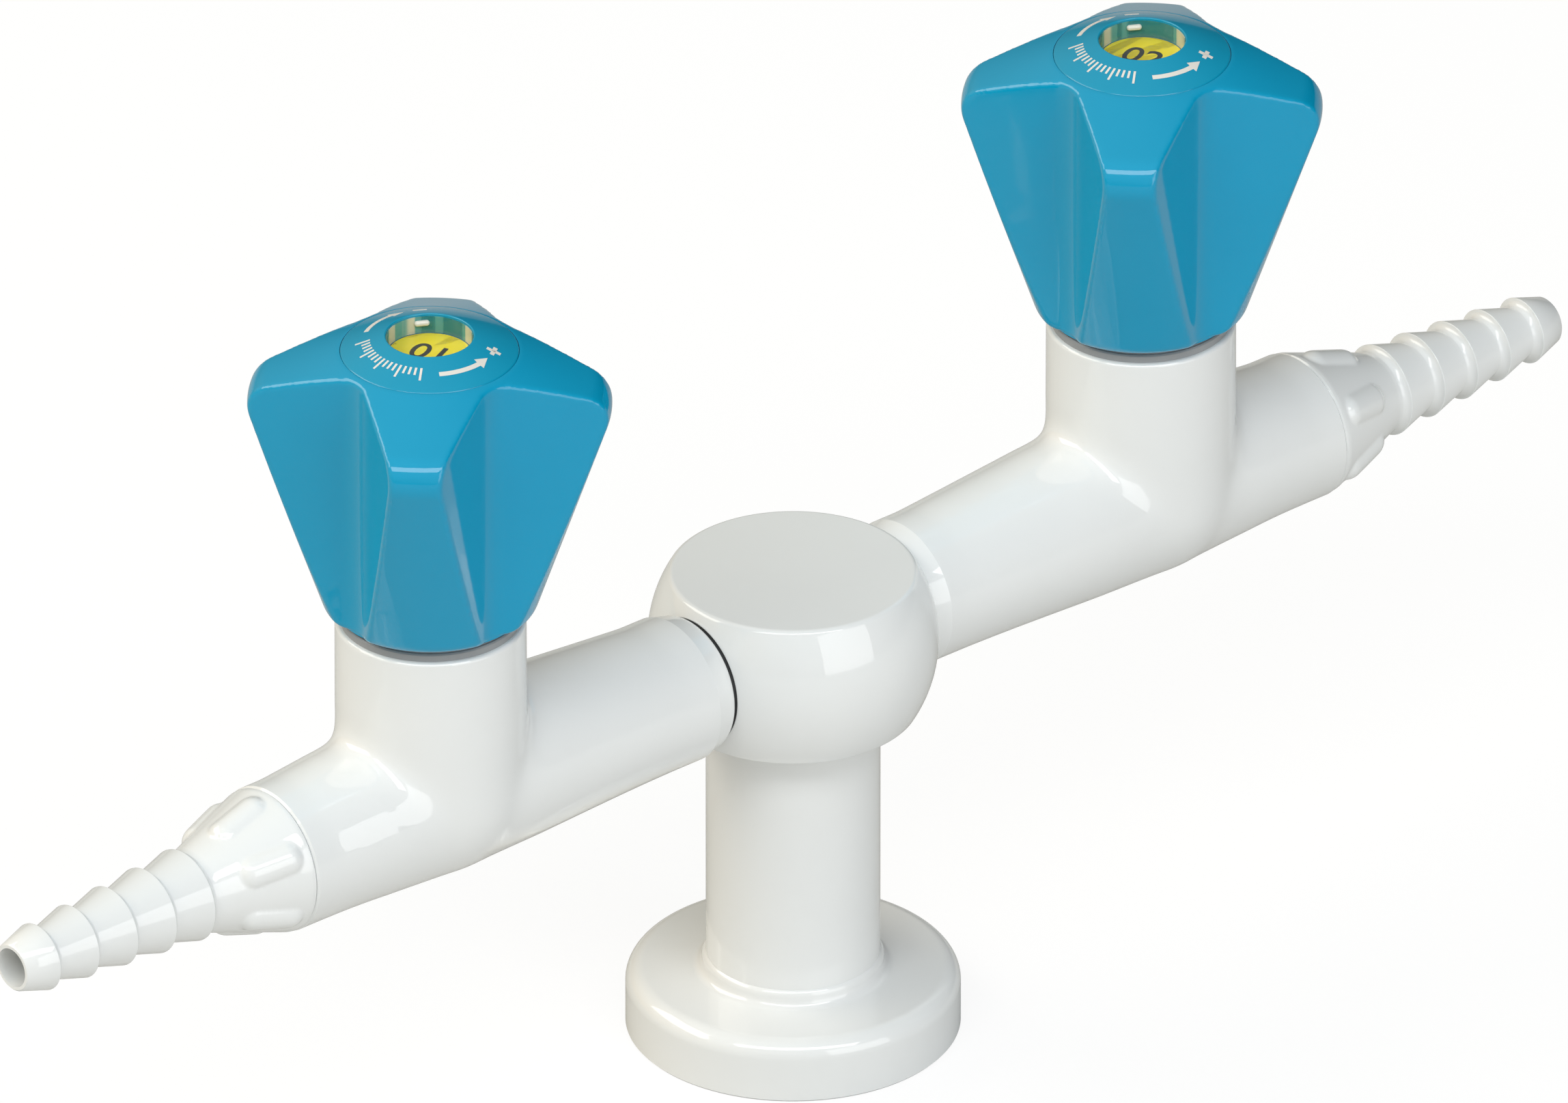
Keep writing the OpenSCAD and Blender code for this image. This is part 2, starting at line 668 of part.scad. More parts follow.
// Rotating spindle: nut end for the plunger's thread, thrust collar, stem and two driving flats
module spindle() {
    color(steel) difference() {
        union() {
            translate([0, 0, nut_end]) cylinder(d = nut_d, h = nut_l + over);
            translate([0, 0, thrust_top - thrust_t]) cylinder(d = thrust_d, h = thrust_t);
            translate([0, 0, thrust_top - over])
                cylinder(d = stem_d, h = clip_z + clip_t + stem_land - thrust_top + over);
            intersection() {
                cylinder(d = stem_d, h = spindle_top);
                translate([-flats_af / 2, -stem_d, clip_z])
                    cube([flats_af, 2 * stem_d, spindle_top - clip_z]);
            }
        }
        translate([0, 0, nut_end - over])
            cylinder(r = lift_d / 2 + fit, h = lift_top + lift + bore_gap - nut_end + over);
        for (i = [1, 2]) seal_groove(stem_d / 2 + fit, seal_height(i));
        ring(stem_d / 2 + over, stem_d / 2 - clip_groove, clip_z, clip_z + clip_t);
        translate([0, 0, pocket_floor - screw_l - end_gap])
            cylinder(r = screw_d / 2 + fit, h = screw_l + over);
    }
}

// Heights of the two sealing rings on the stem
function seal_height(i) = thrust_h + (sleeve_top - thrust_h) * i / 3;

module spindle_seals() {
    color(rubber) for (i = [1, 2]) seal_ring(ring_middle(stem_d / 2 + fit), seal_height(i));
}

// Open retaining clip in the spindle's groove, above the sleeve
module spindle_clip() {
    inner_r = stem_d / 2 - clip_groove + fit;
    color(steel) difference() {
        ring(clip_d / 2, inner_r, clip_z + fit, clip_z + clip_t - fit);
        translate([0, -clip_mouth / 2, clip_z - over]) cube([clip_d, clip_mouth, clip_t + 2 * over]);
    }
}

// Outline of the valley between two lobes, seen from above, opening towards +X
module valley_outline() {
    middle = valley_r + valley_round;
    tip = [sqrt(pow(shoulder_r, 2) - pow(lobe_half_w, 2)), lobe_half_w];
    corner = [(tip[0] + tip[1]) * cos(45), (tip[0] - tip[1]) * cos(45)];
    reach = norm([corner[0] - middle, corner[1]]);
    lean = atan2(corner[1], corner[0] - middle) - asin(valley_round / reach);
    touch = [middle - valley_round * sin(lean), valley_round * cos(lean)];
    far = touch + 2 * shoulder_r * [cos(lean), sin(lean)];
    translate([middle, 0]) circle(r = valley_round);
    polygon([touch, far, [far[0], -far[1]], [touch[0], -touch[1]]]);
}

// Outline of the knob's half section, without its valleys
function knob_outline() =
    let (
        corner = [shoulder_r, knob_foot + shoulder_h],
        side = atan2(shoulder_h, shoulder_r - knob_foot_r),
        top = atan2(knob_top - corner[1], corner[0] - cap_d / 2),
        turn = 180 - top - side,
        back = shoulder_round * tan(turn / 2),
        mid = corner - back * [cos(side), sin(side)] + shoulder_round * [-sin(side), cos(side)],
        foot_back = foot_round * tan(side / 2)
    )
    concat(
        [[0, knob_foot]],
        arc(knob_foot_r - foot_back, knob_foot + foot_round, foot_round, 270, 270 + side, 5),
        arc(mid[0], mid[1], shoulder_round, side - 90, 90 - top),
        [[cap_d / 2 + fit, knob_top], [0, knob_top]]
    );

// Four-lobed knob: a turned body with four valleys cut down its side
module knob() {
    color(blue) difference() {
        rotate_extrude() polygon(knob_outline());
        for (turn = [0:90:270]) rotate([0, 0, turn]) translate([0, 0, knob_foot - over])
            linear_extrude(height = knob_h + 2 * over) valley_outline();
        translate([0, 0, knob_foot - over]) cylinder(d = knob_room_d, h = knob_room_h + over);
        intersection() {
            cylinder(r = stem_d / 2 + fit, h = spindle_top + stem_gap);
            translate([-flats_af / 2 - fit, -stem_d, 0])
                cube([flats_af + 2 * fit, 2 * stem_d, spindle_top + stem_gap]);
        }
        cylinder(r = screw_d / 2 + screw_play, h = pocket_floor + over);
        translate([0, 0, pocket_floor]) cylinder(d = pocket_d, h = pocket_l + over);
        translate([0, 0, cap_floor]) cylinder(r = cap_d / 2 + fit, h = cap_t + over);
    }
}

module knob_screw() {
    color(steel) difference() {
        union() {
            translate([0, 0, pocket_floor - screw_l]) cylinder(r = screw_d / 2, h = screw_l + over);
            translate([0, 0, pocket_floor]) cylinder(d = screw_head_d, h = screw_head_h);
        }
        translate([-screw_head_d / 2 - over, -screw_slot_w / 2, pocket_floor + screw_head_h - screw_slot_h])
            cube([screw_head_d + 2 * over, screw_slot_w, screw_slot_h + over]);
    }
}

// Coloured disc that shows through the window
module index_disc() {
    color(yellow) translate([0, 0, disc_floor]) cylinder(r = window_d / 2 - disc_play, h = disc_t);
}

// Snap-in cap with a window; its skirt enters the knob's pocket
module index_cap() {
    inner = window_d / 2;
    cap_r = cap_d / 2;
    skirt_r = pocket_d / 2 - fit;
    ledge_r = inner - disc_ledge_w;
    ledge_floor = disc_floor - disc_ledge_t;
    slope = cap_rise / (cap_r - inner);
    color(blue) rotate_extrude() polygon([
        [ledge_r, disc_floor], [inner, disc_floor], [inner, window_top],
        [cap_r - edge_break, knob_top + slope * edge_break], [cap_r, knob_top - slope * edge_break],
        [cap_r, cap_floor], [skirt_r, cap_floor],
        [skirt_r, cap_floor - skirt_l], [skirt_r - skirt_wall, cap_floor - skirt_l],
        [skirt_r - skirt_wall, ledge_floor], [ledge_r, ledge_floor]
    ]);
}

module index_lens() {
    color(clear) translate([0, 0, disc_top]) cylinder(r = window_d / 2 - fit, h = lens_t);
}

base_flange();
base_gasket();
column_tube();
column_washer();
hub();
right_arm() arm_seal(arm_seal_t);  // arm_seal_right
right_arm() arm_nipple();  // arm_nipple_right
right_arm() valve_body();  // valve_body_right
right_arm() nozzle_seal();  // nozzle_seal_right
right_arm() hose_nozzle();  // hose_nozzle_right
right_arm() headwork();  // headwork_right
right_arm() headwork_collar();  // headwork_collar_right
right_arm() guide_bush();  // guide_bush_right
right_arm() plunger();  // plunger_right
right_arm() seat_washer();  // seat_washer_right
right_arm() spindle();  // spindle_right
right_arm() spindle_seals();  // spindle_seals_right
right_arm() spindle_clip();  // spindle_clip_right
right_arm() knob();  // knob_right
right_arm() knob_screw();  // knob_screw_right
right_arm() index_disc();  // index_disc_right
right_arm() index_cap();  // index_cap_right
right_arm() index_lens();  // index_lens_right
left_arm() arm_seal(arm_seal_t + left_step);  // arm_seal_left
left_arm() arm_nipple();  // arm_nipple_left
left_arm() valve_body();  // valve_body_left
left_arm() nozzle_seal();  // nozzle_seal_left
left_arm() hose_nozzle();  // hose_nozzle_left
left_arm() headwork();  // headwork_left
left_arm() headwork_collar();  // headwork_collar_left
left_arm() guide_bush();  // guide_bush_left
left_arm() plunger();  // plunger_left
left_arm() seat_washer();  // seat_washer_left
left_arm() spindle();  // spindle_left
left_arm() spindle_seals();  // spindle_seals_left
left_arm() spindle_clip();  // spindle_clip_left
left_arm() knob();  // knob_left
left_arm() knob_screw();  // knob_screw_left
left_arm() index_disc();  // index_disc_left
left_arm() index_cap();  // index_cap_left
left_arm() index_lens();  // index_lens_left
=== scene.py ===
import json
import math
import bpy
from mathutils import Matrix, Vector


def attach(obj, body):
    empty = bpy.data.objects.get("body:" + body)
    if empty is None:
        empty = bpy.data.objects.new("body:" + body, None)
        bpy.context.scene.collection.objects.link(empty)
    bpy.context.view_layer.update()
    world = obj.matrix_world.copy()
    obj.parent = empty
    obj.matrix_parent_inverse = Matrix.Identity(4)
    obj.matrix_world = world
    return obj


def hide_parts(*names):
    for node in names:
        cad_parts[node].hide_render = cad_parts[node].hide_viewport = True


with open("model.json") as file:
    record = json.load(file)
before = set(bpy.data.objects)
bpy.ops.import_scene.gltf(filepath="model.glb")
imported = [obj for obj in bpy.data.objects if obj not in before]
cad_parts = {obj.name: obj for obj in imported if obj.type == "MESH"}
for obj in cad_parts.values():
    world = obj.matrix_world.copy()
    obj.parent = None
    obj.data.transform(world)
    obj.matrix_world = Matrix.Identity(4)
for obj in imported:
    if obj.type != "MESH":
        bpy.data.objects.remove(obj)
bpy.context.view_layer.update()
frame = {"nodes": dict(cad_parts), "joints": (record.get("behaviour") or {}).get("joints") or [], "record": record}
print("frame loaded:", len(frame["nodes"]), "nodes")

mm = 0.001
knobAxis = {j["name"].split("_")[0]: Vector(j["pos_m"]) for j in frame["joints"] if j["type"] == "hinge"}
sides = sorted(knobAxis)
armHeight = knobAxis["right"].z / mm


def deselectAll():
    if bpy.context.object and bpy.context.object.mode != "OBJECT":
        bpy.ops.object.mode_set(mode="OBJECT")
    bpy.ops.object.select_all(action="DESELECT")


def choose(*pieces):  # selects these pieces alone, the last one active
    deselectAll()
    for piece in pieces:
        piece.select_set(True)
    bpy.context.view_layer.objects.active = pieces[-1]


def arc(radius, height, rounding, start, end, steps=8):  # outline points along an arc
    angles = [math.radians(start + (end - start) * i / steps) for i in range(steps + 1)]
    return [(radius + rounding * math.cos(a), height + rounding * math.sin(a)) for a in angles]


def spot(along, distance, rise=0):  # a point on the turning axis, in metres
    return (distance * mm, 0, rise * mm) if along == "X" else (0, 0, distance * mm)


# A turned piece: its outline is a list of (radius, distance along the axis) in millimetres
def turn(name, outline, along="Z", hollow=False, segments=128, rises=None):
    deselectAll()
    rises = rises or [0] * len(outline)
    firstRadius, firstPlace = outline[0]
    bpy.ops.mesh.primitive_circle_add(
        vertices=segments, radius=firstRadius * mm, fill_type="NOTHING" if hollow else "NGON",
        location=spot(along, firstPlace, rises[0]), rotation=(0, math.pi / 2 if along == "X" else 0, 0))
    piece = bpy.context.object
    piece.name = name
    bpy.ops.object.transform_apply()
    bpy.ops.object.mode_set(mode="EDIT")
    for i in range(1, len(outline)):
        (radius, place), (lastRadius, lastPlace) = outline[i], outline[i - 1]
        step = Vector(spot(along, place, rises[i])) - Vector(spot(along, lastPlace, rises[i - 1]))
        ratio = radius / lastRadius
        bpy.ops.mesh.extrude_region_move(TRANSFORM_OT_translate={"value": step})
        bpy.ops.transform.resize(value=(1, ratio, ratio) if along == "X" else (ratio, ratio, 1),
                                 center_override=spot(along, place, rises[i]))
    bpy.ops.mesh.select_all(action="SELECT")
    bpy.ops.mesh.remove_doubles(threshold=0.002 * mm)
    bpy.ops.mesh.normals_make_consistent(inside=False)
    bpy.ops.object.mode_set(mode="OBJECT")
    return piece


def apply(piece, kind, **settings):  # adds a modifier and applies it
    choose(piece)
    bpy.ops.object.modifier_add(type=kind)
    modifier = piece.modifiers[-1]
    for key, value in settings.items():
        setattr(modifier, key, value)
    bpy.ops.object.modifier_apply(modifier=modifier.name)
    return piece


def combine(piece, tool, operation="DIFFERENCE"):
    apply(piece, "BOOLEAN", operation=operation, solver="MANIFOLD", object=tool)
    bpy.data.objects.remove(tool)
    return piece


def drill(piece, radius, start, end, along="Z"):
    return combine(piece, turn("drill", [(radius, start), (radius, end)], along, segments=96))


def remesh(piece, size, rounds):  # an even mesh, smoothed a little
    apply(piece, "REMESH", mode="VOXEL", voxel_size=size * mm)
    return apply(piece, "SMOOTH", factor=0.5, iterations=rounds)


def joined(name, *pieces):
    choose(*pieces)
    bpy.ops.object.join()
    bpy.context.object.name = name
    return bpy.context.object


def soften(piece, angle=30):
    choose(piece)
    bpy.ops.object.shade_smooth_by_angle(angle=math.radians(angle))
    return piece


def moved(piece, matrix):
    choose(piece)
    piece.matrix_world = matrix @ piece.matrix_world
    bpy.ops.object.transform_apply()
    return piece


def copied(piece, name, matrix):
    choose(piece)
    bpy.ops.object.duplicate()
    bpy.context.object.name = name
    return moved(bpy.context.object, matrix)


def shift(x, y, z):  # a move in millimetres
    return Matrix.Translation((x * mm, y * mm, z * mm))


def rotate(angle, axis):  # a turn in degrees about an axis through the origin
    return Matrix.Rotation(math.radians(angle), 4, axis)


def selectFaces(piece, test):  # opens edit mode with the faces that pass the test selected
    choose(piece)
    bpy.ops.object.mode_set(mode="EDIT")
    bpy.ops.mesh.select_mode(type="FACE")
    bpy.ops.mesh.select_all(action="DESELECT")
    bpy.ops.object.mode_set(mode="OBJECT")
    for face in piece.data.polygons:
        face.select = test(face)
    bpy.ops.object.mode_set(mode="EDIT")


def selectVertices(piece, test):
    choose(piece)
    bpy.ops.object.mode_set(mode="EDIT")
    bpy.ops.mesh.select_mode(type="VERT")
    bpy.ops.mesh.select_all(action="DESELECT")
    bpy.ops.object.mode_set(mode="OBJECT")
    for vertex in piece.data.vertices:
        vertex.select = test(vertex.co)
    bpy.ops.object.mode_set(mode="EDIT")


# Cuts a piece square to an axis, closes it, and draws the new end on along an outline
def trim(piece, along, side, outline):
    place = outline[0][1]
    normal = (side, 0, 0) if along == "X" else (0, 0, side)
    choose(piece)
    bpy.ops.object.mode_set(mode="EDIT")
    bpy.ops.mesh.select_mode(type="FACE")
    bpy.ops.mesh.select_all(action="SELECT")
    bpy.ops.mesh.bisect(plane_co=spot(along, place), plane_no=normal, use_fill=True, clear_outer=True)
    for (lastRadius, lastPlace), (radius, nextPlace) in zip(outline, outline[1:]):
        ratio = radius / lastRadius
        bpy.ops.mesh.extrude_region_move(
            TRANSFORM_OT_translate={"value": Vector(spot(along, nextPlace)) - Vector(spot(along, lastPlace))})
        bpy.ops.transform.resize(value=(1, ratio, ratio) if along == "X" else (ratio, ratio, 1),
                                 center_override=spot(along, nextPlace))
    bpy.ops.object.mode_set(mode="OBJECT")
    return piece


def capsule(name, radius, length, axis):  # a ball drawn out along X or Z, its middle at the origin
    deselectAll()
    bpy.ops.mesh.primitive_uv_sphere_add(segments=64, ring_count=32, radius=radius * mm,
                                         rotation=(0, math.pi / 2 if axis == 0 else 0, 0))
    piece = bpy.context.object
    piece.name = name
    bpy.ops.object.transform_apply()
    reach = [0, 0, 0]
    reach[axis] = length * mm / 2
    for way in (-1, 1):
        selectVertices(piece, lambda co: co[axis] * way > 0.001 * mm)
        bpy.ops.transform.translate(value=[way * r for r in reach])
    bpy.ops.object.mode_set(mode="OBJECT")
    return piece


armPlace = {
    "right": Matrix.Translation(knobAxis["right"]),
    "left": Matrix.Translation(knobAxis["left"]) @ rotate(180, "Z"),
}


# Base flange and hub
flange = {
    "radius": 25, "height": 9.7, "edgeRound": 2.8, "columnRadius": 13, "collarRadius": 13.6,
    "filletRound": 1.5, "lipRound": 1.3, "ledge": 7, "spigotRadius": 11.05,
    "footBreak": 0.3, "grooveIn": 17.45, "grooveOut": 20.55, "grooveDepth": 1.5, "segments": 192,
}


def makeFlange(f):
    outline = [(f["spigotRadius"], 0), (f["grooveIn"], 0), (f["grooveIn"], f["grooveDepth"]),
               (f["grooveOut"], f["grooveDepth"]), (f["grooveOut"], 0),
               (f["radius"] - f["footBreak"], 0), (f["radius"], f["footBreak"])]
    outline += arc(f["radius"] - f["edgeRound"], f["height"] - f["edgeRound"], f["edgeRound"], 0, 90, 14)
    collarFoot = f["height"] + f["filletRound"]
    outline += arc(f["collarRadius"] + f["filletRound"], collarFoot, f["filletRound"], 270, 180, 10)
    lipMiddle = f["collarRadius"] - f["lipRound"]
    lipEnd = math.degrees(math.acos((f["columnRadius"] - lipMiddle) / f["lipRound"]))
    outline += arc(lipMiddle, collarFoot, f["lipRound"], 0, lipEnd, 10)[1:]
    outline += [(f["columnRadius"], f["ledge"]),
                (f["spigotRadius"], f["ledge"]), (f["spigotRadius"], 0)]
    return soften(turn("baseFlange", outline, hollow=True, segments=f["segments"]))


ball = {
    "radius": 21.65, "top": 11.45, "bottom": 10.95, "edgeRound": 1, "bottomRound": 0.3,
    "portRadius": 9.65, "portFloor": 17, "threadRadius": 7.05, "threadFloor": 11.8,
    "gasWay": 4, "spigotRadius": 9.05, "spigotDepth": 6.8, "segments": 256,
    "play": 0.1, "leftGap": 0.5,  # room round the arms' noses, and how much more the left one has
    "roomFlare": 0.7, "roomSegments": 192, "overcut": 1, "sliver": 0.0005,
}


def makeHub(b, v):  # the ports leave room for the nose of the valve body v
    topEdge = b["top"] - b["edgeRound"]
    topRadius = math.sqrt((b["radius"] - b["edgeRound"]) ** 2 - topEdge ** 2)
    footEdge = b["bottom"] - b["bottomRound"]
    footRadius = math.sqrt((b["radius"] - b["bottomRound"]) ** 2 - footEdge ** 2)
    lowAngle = -math.degrees(math.atan2(footEdge, footRadius))
    highAngle = math.degrees(math.atan2(topEdge, topRadius))
    outline = arc(footRadius, -footEdge, b["bottomRound"], -90, lowAngle, 4)
    outline += arc(0, 0, b["radius"], lowAngle, highAngle, 48)[1:]
    outline += arc(topRadius, topEdge, b["edgeRound"], highAngle, 90, 8)[1:]
    hub = turn("hubBall", [(radius, height + armHeight) for radius, height in outline],
               segments=b["segments"])
    floor = armHeight - b["bottom"]
    drill(hub, b["spigotRadius"], floor - b["overcut"], floor + b["spigotDepth"])
    drill(hub, b["gasWay"], floor - b["overcut"], armHeight + b["gasWay"])
    for side, way in (("right", 1), ("left", -1)):
        reach = abs(knobAxis[side].x) / mm - (b["leftGap"] if side == "left" else 0)
        port = [(b["gasWay"], 0), (b["gasWay"], b["threadFloor"]), (b["threadRadius"], b["threadFloor"]),
                (b["threadRadius"], b["portFloor"]), (b["portRadius"], b["portFloor"]),
                (b["portRadius"], b["radius"] + b["overcut"])]
        noseMiddle = v["endRadius"] - v["noseRound"]
        nose = [(noseMiddle, v["hubEnd"] - v["noseRound"] - b["play"])]
        nose += [(r, d) for d, r in arc(v["hubEnd"], noseMiddle, v["noseRound"] + b["play"], 180, 90, 8)]
        nose += [(v["endRadius"] + b["play"] + b["roomFlare"], v["hubEnd"] + v["chamferLength"])]
        room = moved(turn("room", nose, "X", segments=b["roomSegments"]), shift(reach, 0, 0))
        for cutter in (turn("port", port, "X"), room):
            combine(hub, moved(cutter, shift(0, 0, armHeight) @ rotate(0 if way > 0 else 180, "Z")))
    selectFaces(hub, lambda face: True)
    bpy.ops.mesh.dissolve_degenerate(threshold=b["sliver"] * mm)
    bpy.ops.object.mode_set(mode="OBJECT")
    return soften(hub)


# Valve body, modelled with the knob axis and the arm axis crossing at the origin
valve = {
    "hubEnd": -49.35, "endRadius": 10.6, "chamferLength": 2.6, "noseRound": 1.4, "outlet": 31.25,
    "tubeRadius": 11.3, "swell": 0.9, "swellIn": 42, "swellOut": 24, "edgeBreak": 0.3,
    "crestIn": (-42, -17.17, 13.2), "crestOut": (27, 17.17, 12.2),
    "neckRadius": 14.23, "neckTop": 29.35, "neckDome": 2, "rimRound": 0.6,
    "tubeFrom": -60, "tubeTo": 40, "sections": 80, "neckDrawn": 40,  # drawn overlong, then trimmed
    "nippleBore": (7.05, 6.95), "inletWay": (2.5, -44, -16), "slantWay": (2.1, 17.5, 111.5),
    "seatWay": (2.4, -8.4, 0), "chamber": (4, -2.15, 12), "headBore": (9.55, 9),
    "outletWay": (2.1, 8), "socket": (7.55, 9.05),
    "meshSize": 0.4, "meshRounds": 14, "softAngle": 11,
    "filletReach": 5.5, "filletBlend": 1.6, "filletRounds": 160,
}


def tubeRadius(v, x):
    share = min(1, abs(x) / (v["swellIn"] if x < 0 else v["swellOut"]))
    return v["tubeRadius"] + v["swell"] * (1 + math.cos(math.pi * share)) / 2


def crestHeight(v, x):  # the tube's top line leaves the round tube and rises straight to the neck
    start, end, height = v["crestIn"] if x < 0 else v["crestOut"]
    if abs(x) >= abs(start):
        return tubeRadius(v, x)
    return max(tubeRadius(v, x), v["tubeRadius"] + (height - v["tubeRadius"]) * (x - start) / (end - start))


def tubeSection(v, x):  # radius of the tube's section and how far its middle stands above the arm axis
    low, high = tubeRadius(v, x), crestHeight(v, x)
    return (low + high) / 2, (high - low) / 2


def makeValveBody(v):
    tubeLength = v["tubeTo"] - v["tubeFrom"]
    places = [v["tubeFrom"] + tubeLength * i / v["sections"] for i in range(v["sections"] + 1)]
    sections = [tubeSection(v, x) for x in places]
    tube = turn("tube", [(section[0], x) for section, x in zip(sections, places)], "X",
                rises=[section[1] for section in sections])
    neck = capsule("neck", v["neckRadius"], 0, 2)
    selectVertices(neck, lambda co: co.z > 0.001 * mm)
    bpy.ops.transform.translate(value=(0, 0, v["neckDrawn"] * mm))
    moved(neck, shift(0, 0, v["neckDome"]))
    body = remesh(joined("valveBody", neck, tube), v["meshSize"], v["meshRounds"])
    group = body.vertex_groups.new(name="fillet")
    for vertex in body.data.vertices:
        x, y, z = vertex.co / mm
        radius, rise = tubeSection(v, x)
        fromTube = math.hypot(y, z - rise) - radius
        fromNeck = math.hypot(x, y, min(0, z - v["neckDome"])) - v["neckRadius"]
        weight = 1 - max(fromTube, fromNeck) / v["filletReach"]
        if weight > 0:
            group.add([vertex.index], min(1, weight * v["filletBlend"]), "REPLACE")
    apply(body, "SMOOTH", factor=0.5, iterations=v["filletRounds"], vertex_group="fillet")
    chamferEnd = v["hubEnd"] + v["chamferLength"]
    end = [(tubeRadius(v, chamferEnd), chamferEnd)]
    end += [(r, d) for d, r in arc(v["hubEnd"], v["endRadius"] - v["noseRound"], v["noseRound"], 90, 180, 8)]
    trim(body, "X", -1, end)
    trim(body, "X", 1, [(v["tubeRadius"], v["outlet"] - v["edgeBreak"]),
                        (v["tubeRadius"] - v["edgeBreak"], v["outlet"])])
    rim = v["rimRound"]
    trim(body, "Z", 1, arc(v["neckRadius"] - rim, v["neckTop"] - rim, rim, 0, 90, 6))
    drill(body, v["nippleBore"][0], v["hubEnd"] - 4, v["hubEnd"] + v["nippleBore"][1], "X")
    drill(body, *v["inletWay"], "X")
    radius, length, angle = v["slantWay"]
    slant = turn("slant", [(radius, 0), (radius, length)], segments=48)
    combine(body, moved(slant, shift(v["inletWay"][2], 0, 0) @ rotate(angle, "Y")))
    drill(body, *v["seatWay"])
    drill(body, *v["chamber"])
    drill(body, *v["headBore"], v["neckTop"] + 2)
    drill(body, v["outletWay"][0], 0, v["outlet"] - v["outletWay"][1], "X")
    drill(body, v["socket"][0], v["outlet"] - v["socket"][1], v["outlet"] + 1, "X")
    return soften(body, v["softAngle"])


# Hose nozzle, with the valve body's outlet end at the origin
nozzle = {
    "length": 49.55, "bore": 3.02, "mouth": 3.75, "rootRadius": 11.15, "rootLand": 0.8, "rootLength": 15.2,
    "rootEnd": 6.33, "edgeBreak": 0.3, "barbs": 5, "barbStart": 16.4, "barbPitch": 7, "barbRadius": 7.15,
    "barbStep": 0.49, "barbFillet": 1.2, "rimRound": 0.12, "ribs": 6, "ribRadius": 2.9, "ribLength": 5.6,
    "ribPlace": 5.7, "ribRise": 1.1, "spigotRadius": 7.5, "spigotLength": 9, "sealGroove": 6.2,
    "grooveFrom": -5.25, "grooveTo": -3.75, "mouthBreak": 0.25,
    "meshSize": 0.24, "meshRounds": 6, "overrun": 2, "jointBack": 0.4, "overlap": 0.3, "segments": 160,
    "boreFrom": -12, "softAngle": 32,
}


def makeNozzle(n):
    slope = (n["rootRadius"] - n["rootEnd"]) / (n["rootLength"] - n["rootLand"])
    root = turn("root", [(n["rootRadius"], -n["overrun"]), (n["rootRadius"], n["rootLand"]),
                         (n["rootEnd"], n["rootLength"]),
                         (n["rootEnd"] - n["overrun"] * slope, n["rootLength"] + n["overrun"])], "X")
    lean = math.atan(slope)
    surface = n["rootRadius"] - slope * (n["ribPlace"] - n["rootLand"] / 2)
    ribs = []
    for i in range(n["ribs"]):
        rib = capsule("rib", n["ribRadius"], n["ribLength"], 0)
        height = surface + (n["ribRise"] - n["ribRadius"]) / math.cos(lean)
        place = shift(n["ribPlace"], 0, height) @ Matrix.Rotation(lean, 4, "Y")
        ribs.append(moved(rib, rotate(360 * i / n["ribs"], "X") @ place))
    piece = remesh(joined("nozzle", *ribs, root), n["meshSize"], n["meshRounds"])
    joint = n["rootLength"] - n["jointBack"]
    jointRadius = n["rootEnd"] + n["jointBack"] * slope
    trim(piece, "X", 1, [(jointRadius, joint), (jointRadius - 0.02, joint + 0.01)])
    trim(piece, "X", -1, [(n["rootRadius"], n["edgeBreak"]), (n["rootRadius"] - n["edgeBreak"], 0)])
    taper = ((n["barbRadius"] - (n["barbs"] - 1) * n["barbStep"] - n["mouth"])
             / (n["length"] - n["barbStart"] - (n["barbs"] - 1) * n["barbPitch"]))
    fillet, crest = n["barbFillet"], n["rimRound"]
    outline = [(jointRadius + n["overlap"] * slope, joint - n["overlap"])]
    for i in range(n["barbs"]):
        rim = n["barbRadius"] - i * n["barbStep"]
        foot = n["rootEnd"] if i == 0 else rim + n["barbStep"] - taper * (n["barbPitch"] - fillet)
        place = n["barbStart"] + i * n["barbPitch"]
        rise = math.degrees(math.acos(1 - (rim - foot - crest / 2) / fillet))
        start = place - fillet * math.sin(math.radians(rise))
        outline += [(r, d) for d, r in arc(start, foot + fillet, fillet, 270, 270 + rise, 10)]
        outline += [(r, d) for d, r in arc(place + crest, rim - crest, crest, 160, 80, 5)]
    outline += [(n["mouth"], n["length"] - n["mouthBreak"]), (n["mouth"] - n["mouthBreak"], n["length"])]
    combine(piece, turn("barbs", outline, "X", segments=n["segments"]), "UNION")
    spigot = [(n["spigotRadius"], -n["spigotLength"]), (n["spigotRadius"], n["grooveFrom"]),
              (n["sealGroove"], n["grooveFrom"]), (n["sealGroove"], n["grooveTo"]),
              (n["spigotRadius"], n["grooveTo"]), (n["spigotRadius"], 0.5)]
    combine(piece, turn("spigot", spigot, "X"), "UNION")
    drill(piece, n["bore"], n["boreFrom"], n["length"] + 1, "X")
    return soften(moved(piece, shift(valve["outlet"], 0, 0)), n["softAngle"])


# Four-lobed knob, cap and window, with the arm axis at height 0 on the knob axis
knob = {
    "foot": 31.75, "footRadius": 15.6, "footRound": 1.75, "footRim": 1.2,
    "shoulderRadius": 28, "shoulderHeight": 36.5, "shoulderRound": 4.5, "height": 42.75, "topRadius": 13.2,
    "valleyMiddle": 20.4, "valleyRound": 6, "valleyWiden": 8, "lobeHalfWidth": 3.3,
    "room": (12.2, 10.4), "recess": (13.25, 1.4), "pocket": (7.5, 15), "stemHole": (4.05, 24.45),
    "screwHole": (2.1, 20), "meshSize": 0.32, "edgeRounds": 14, "segments": 256,
}


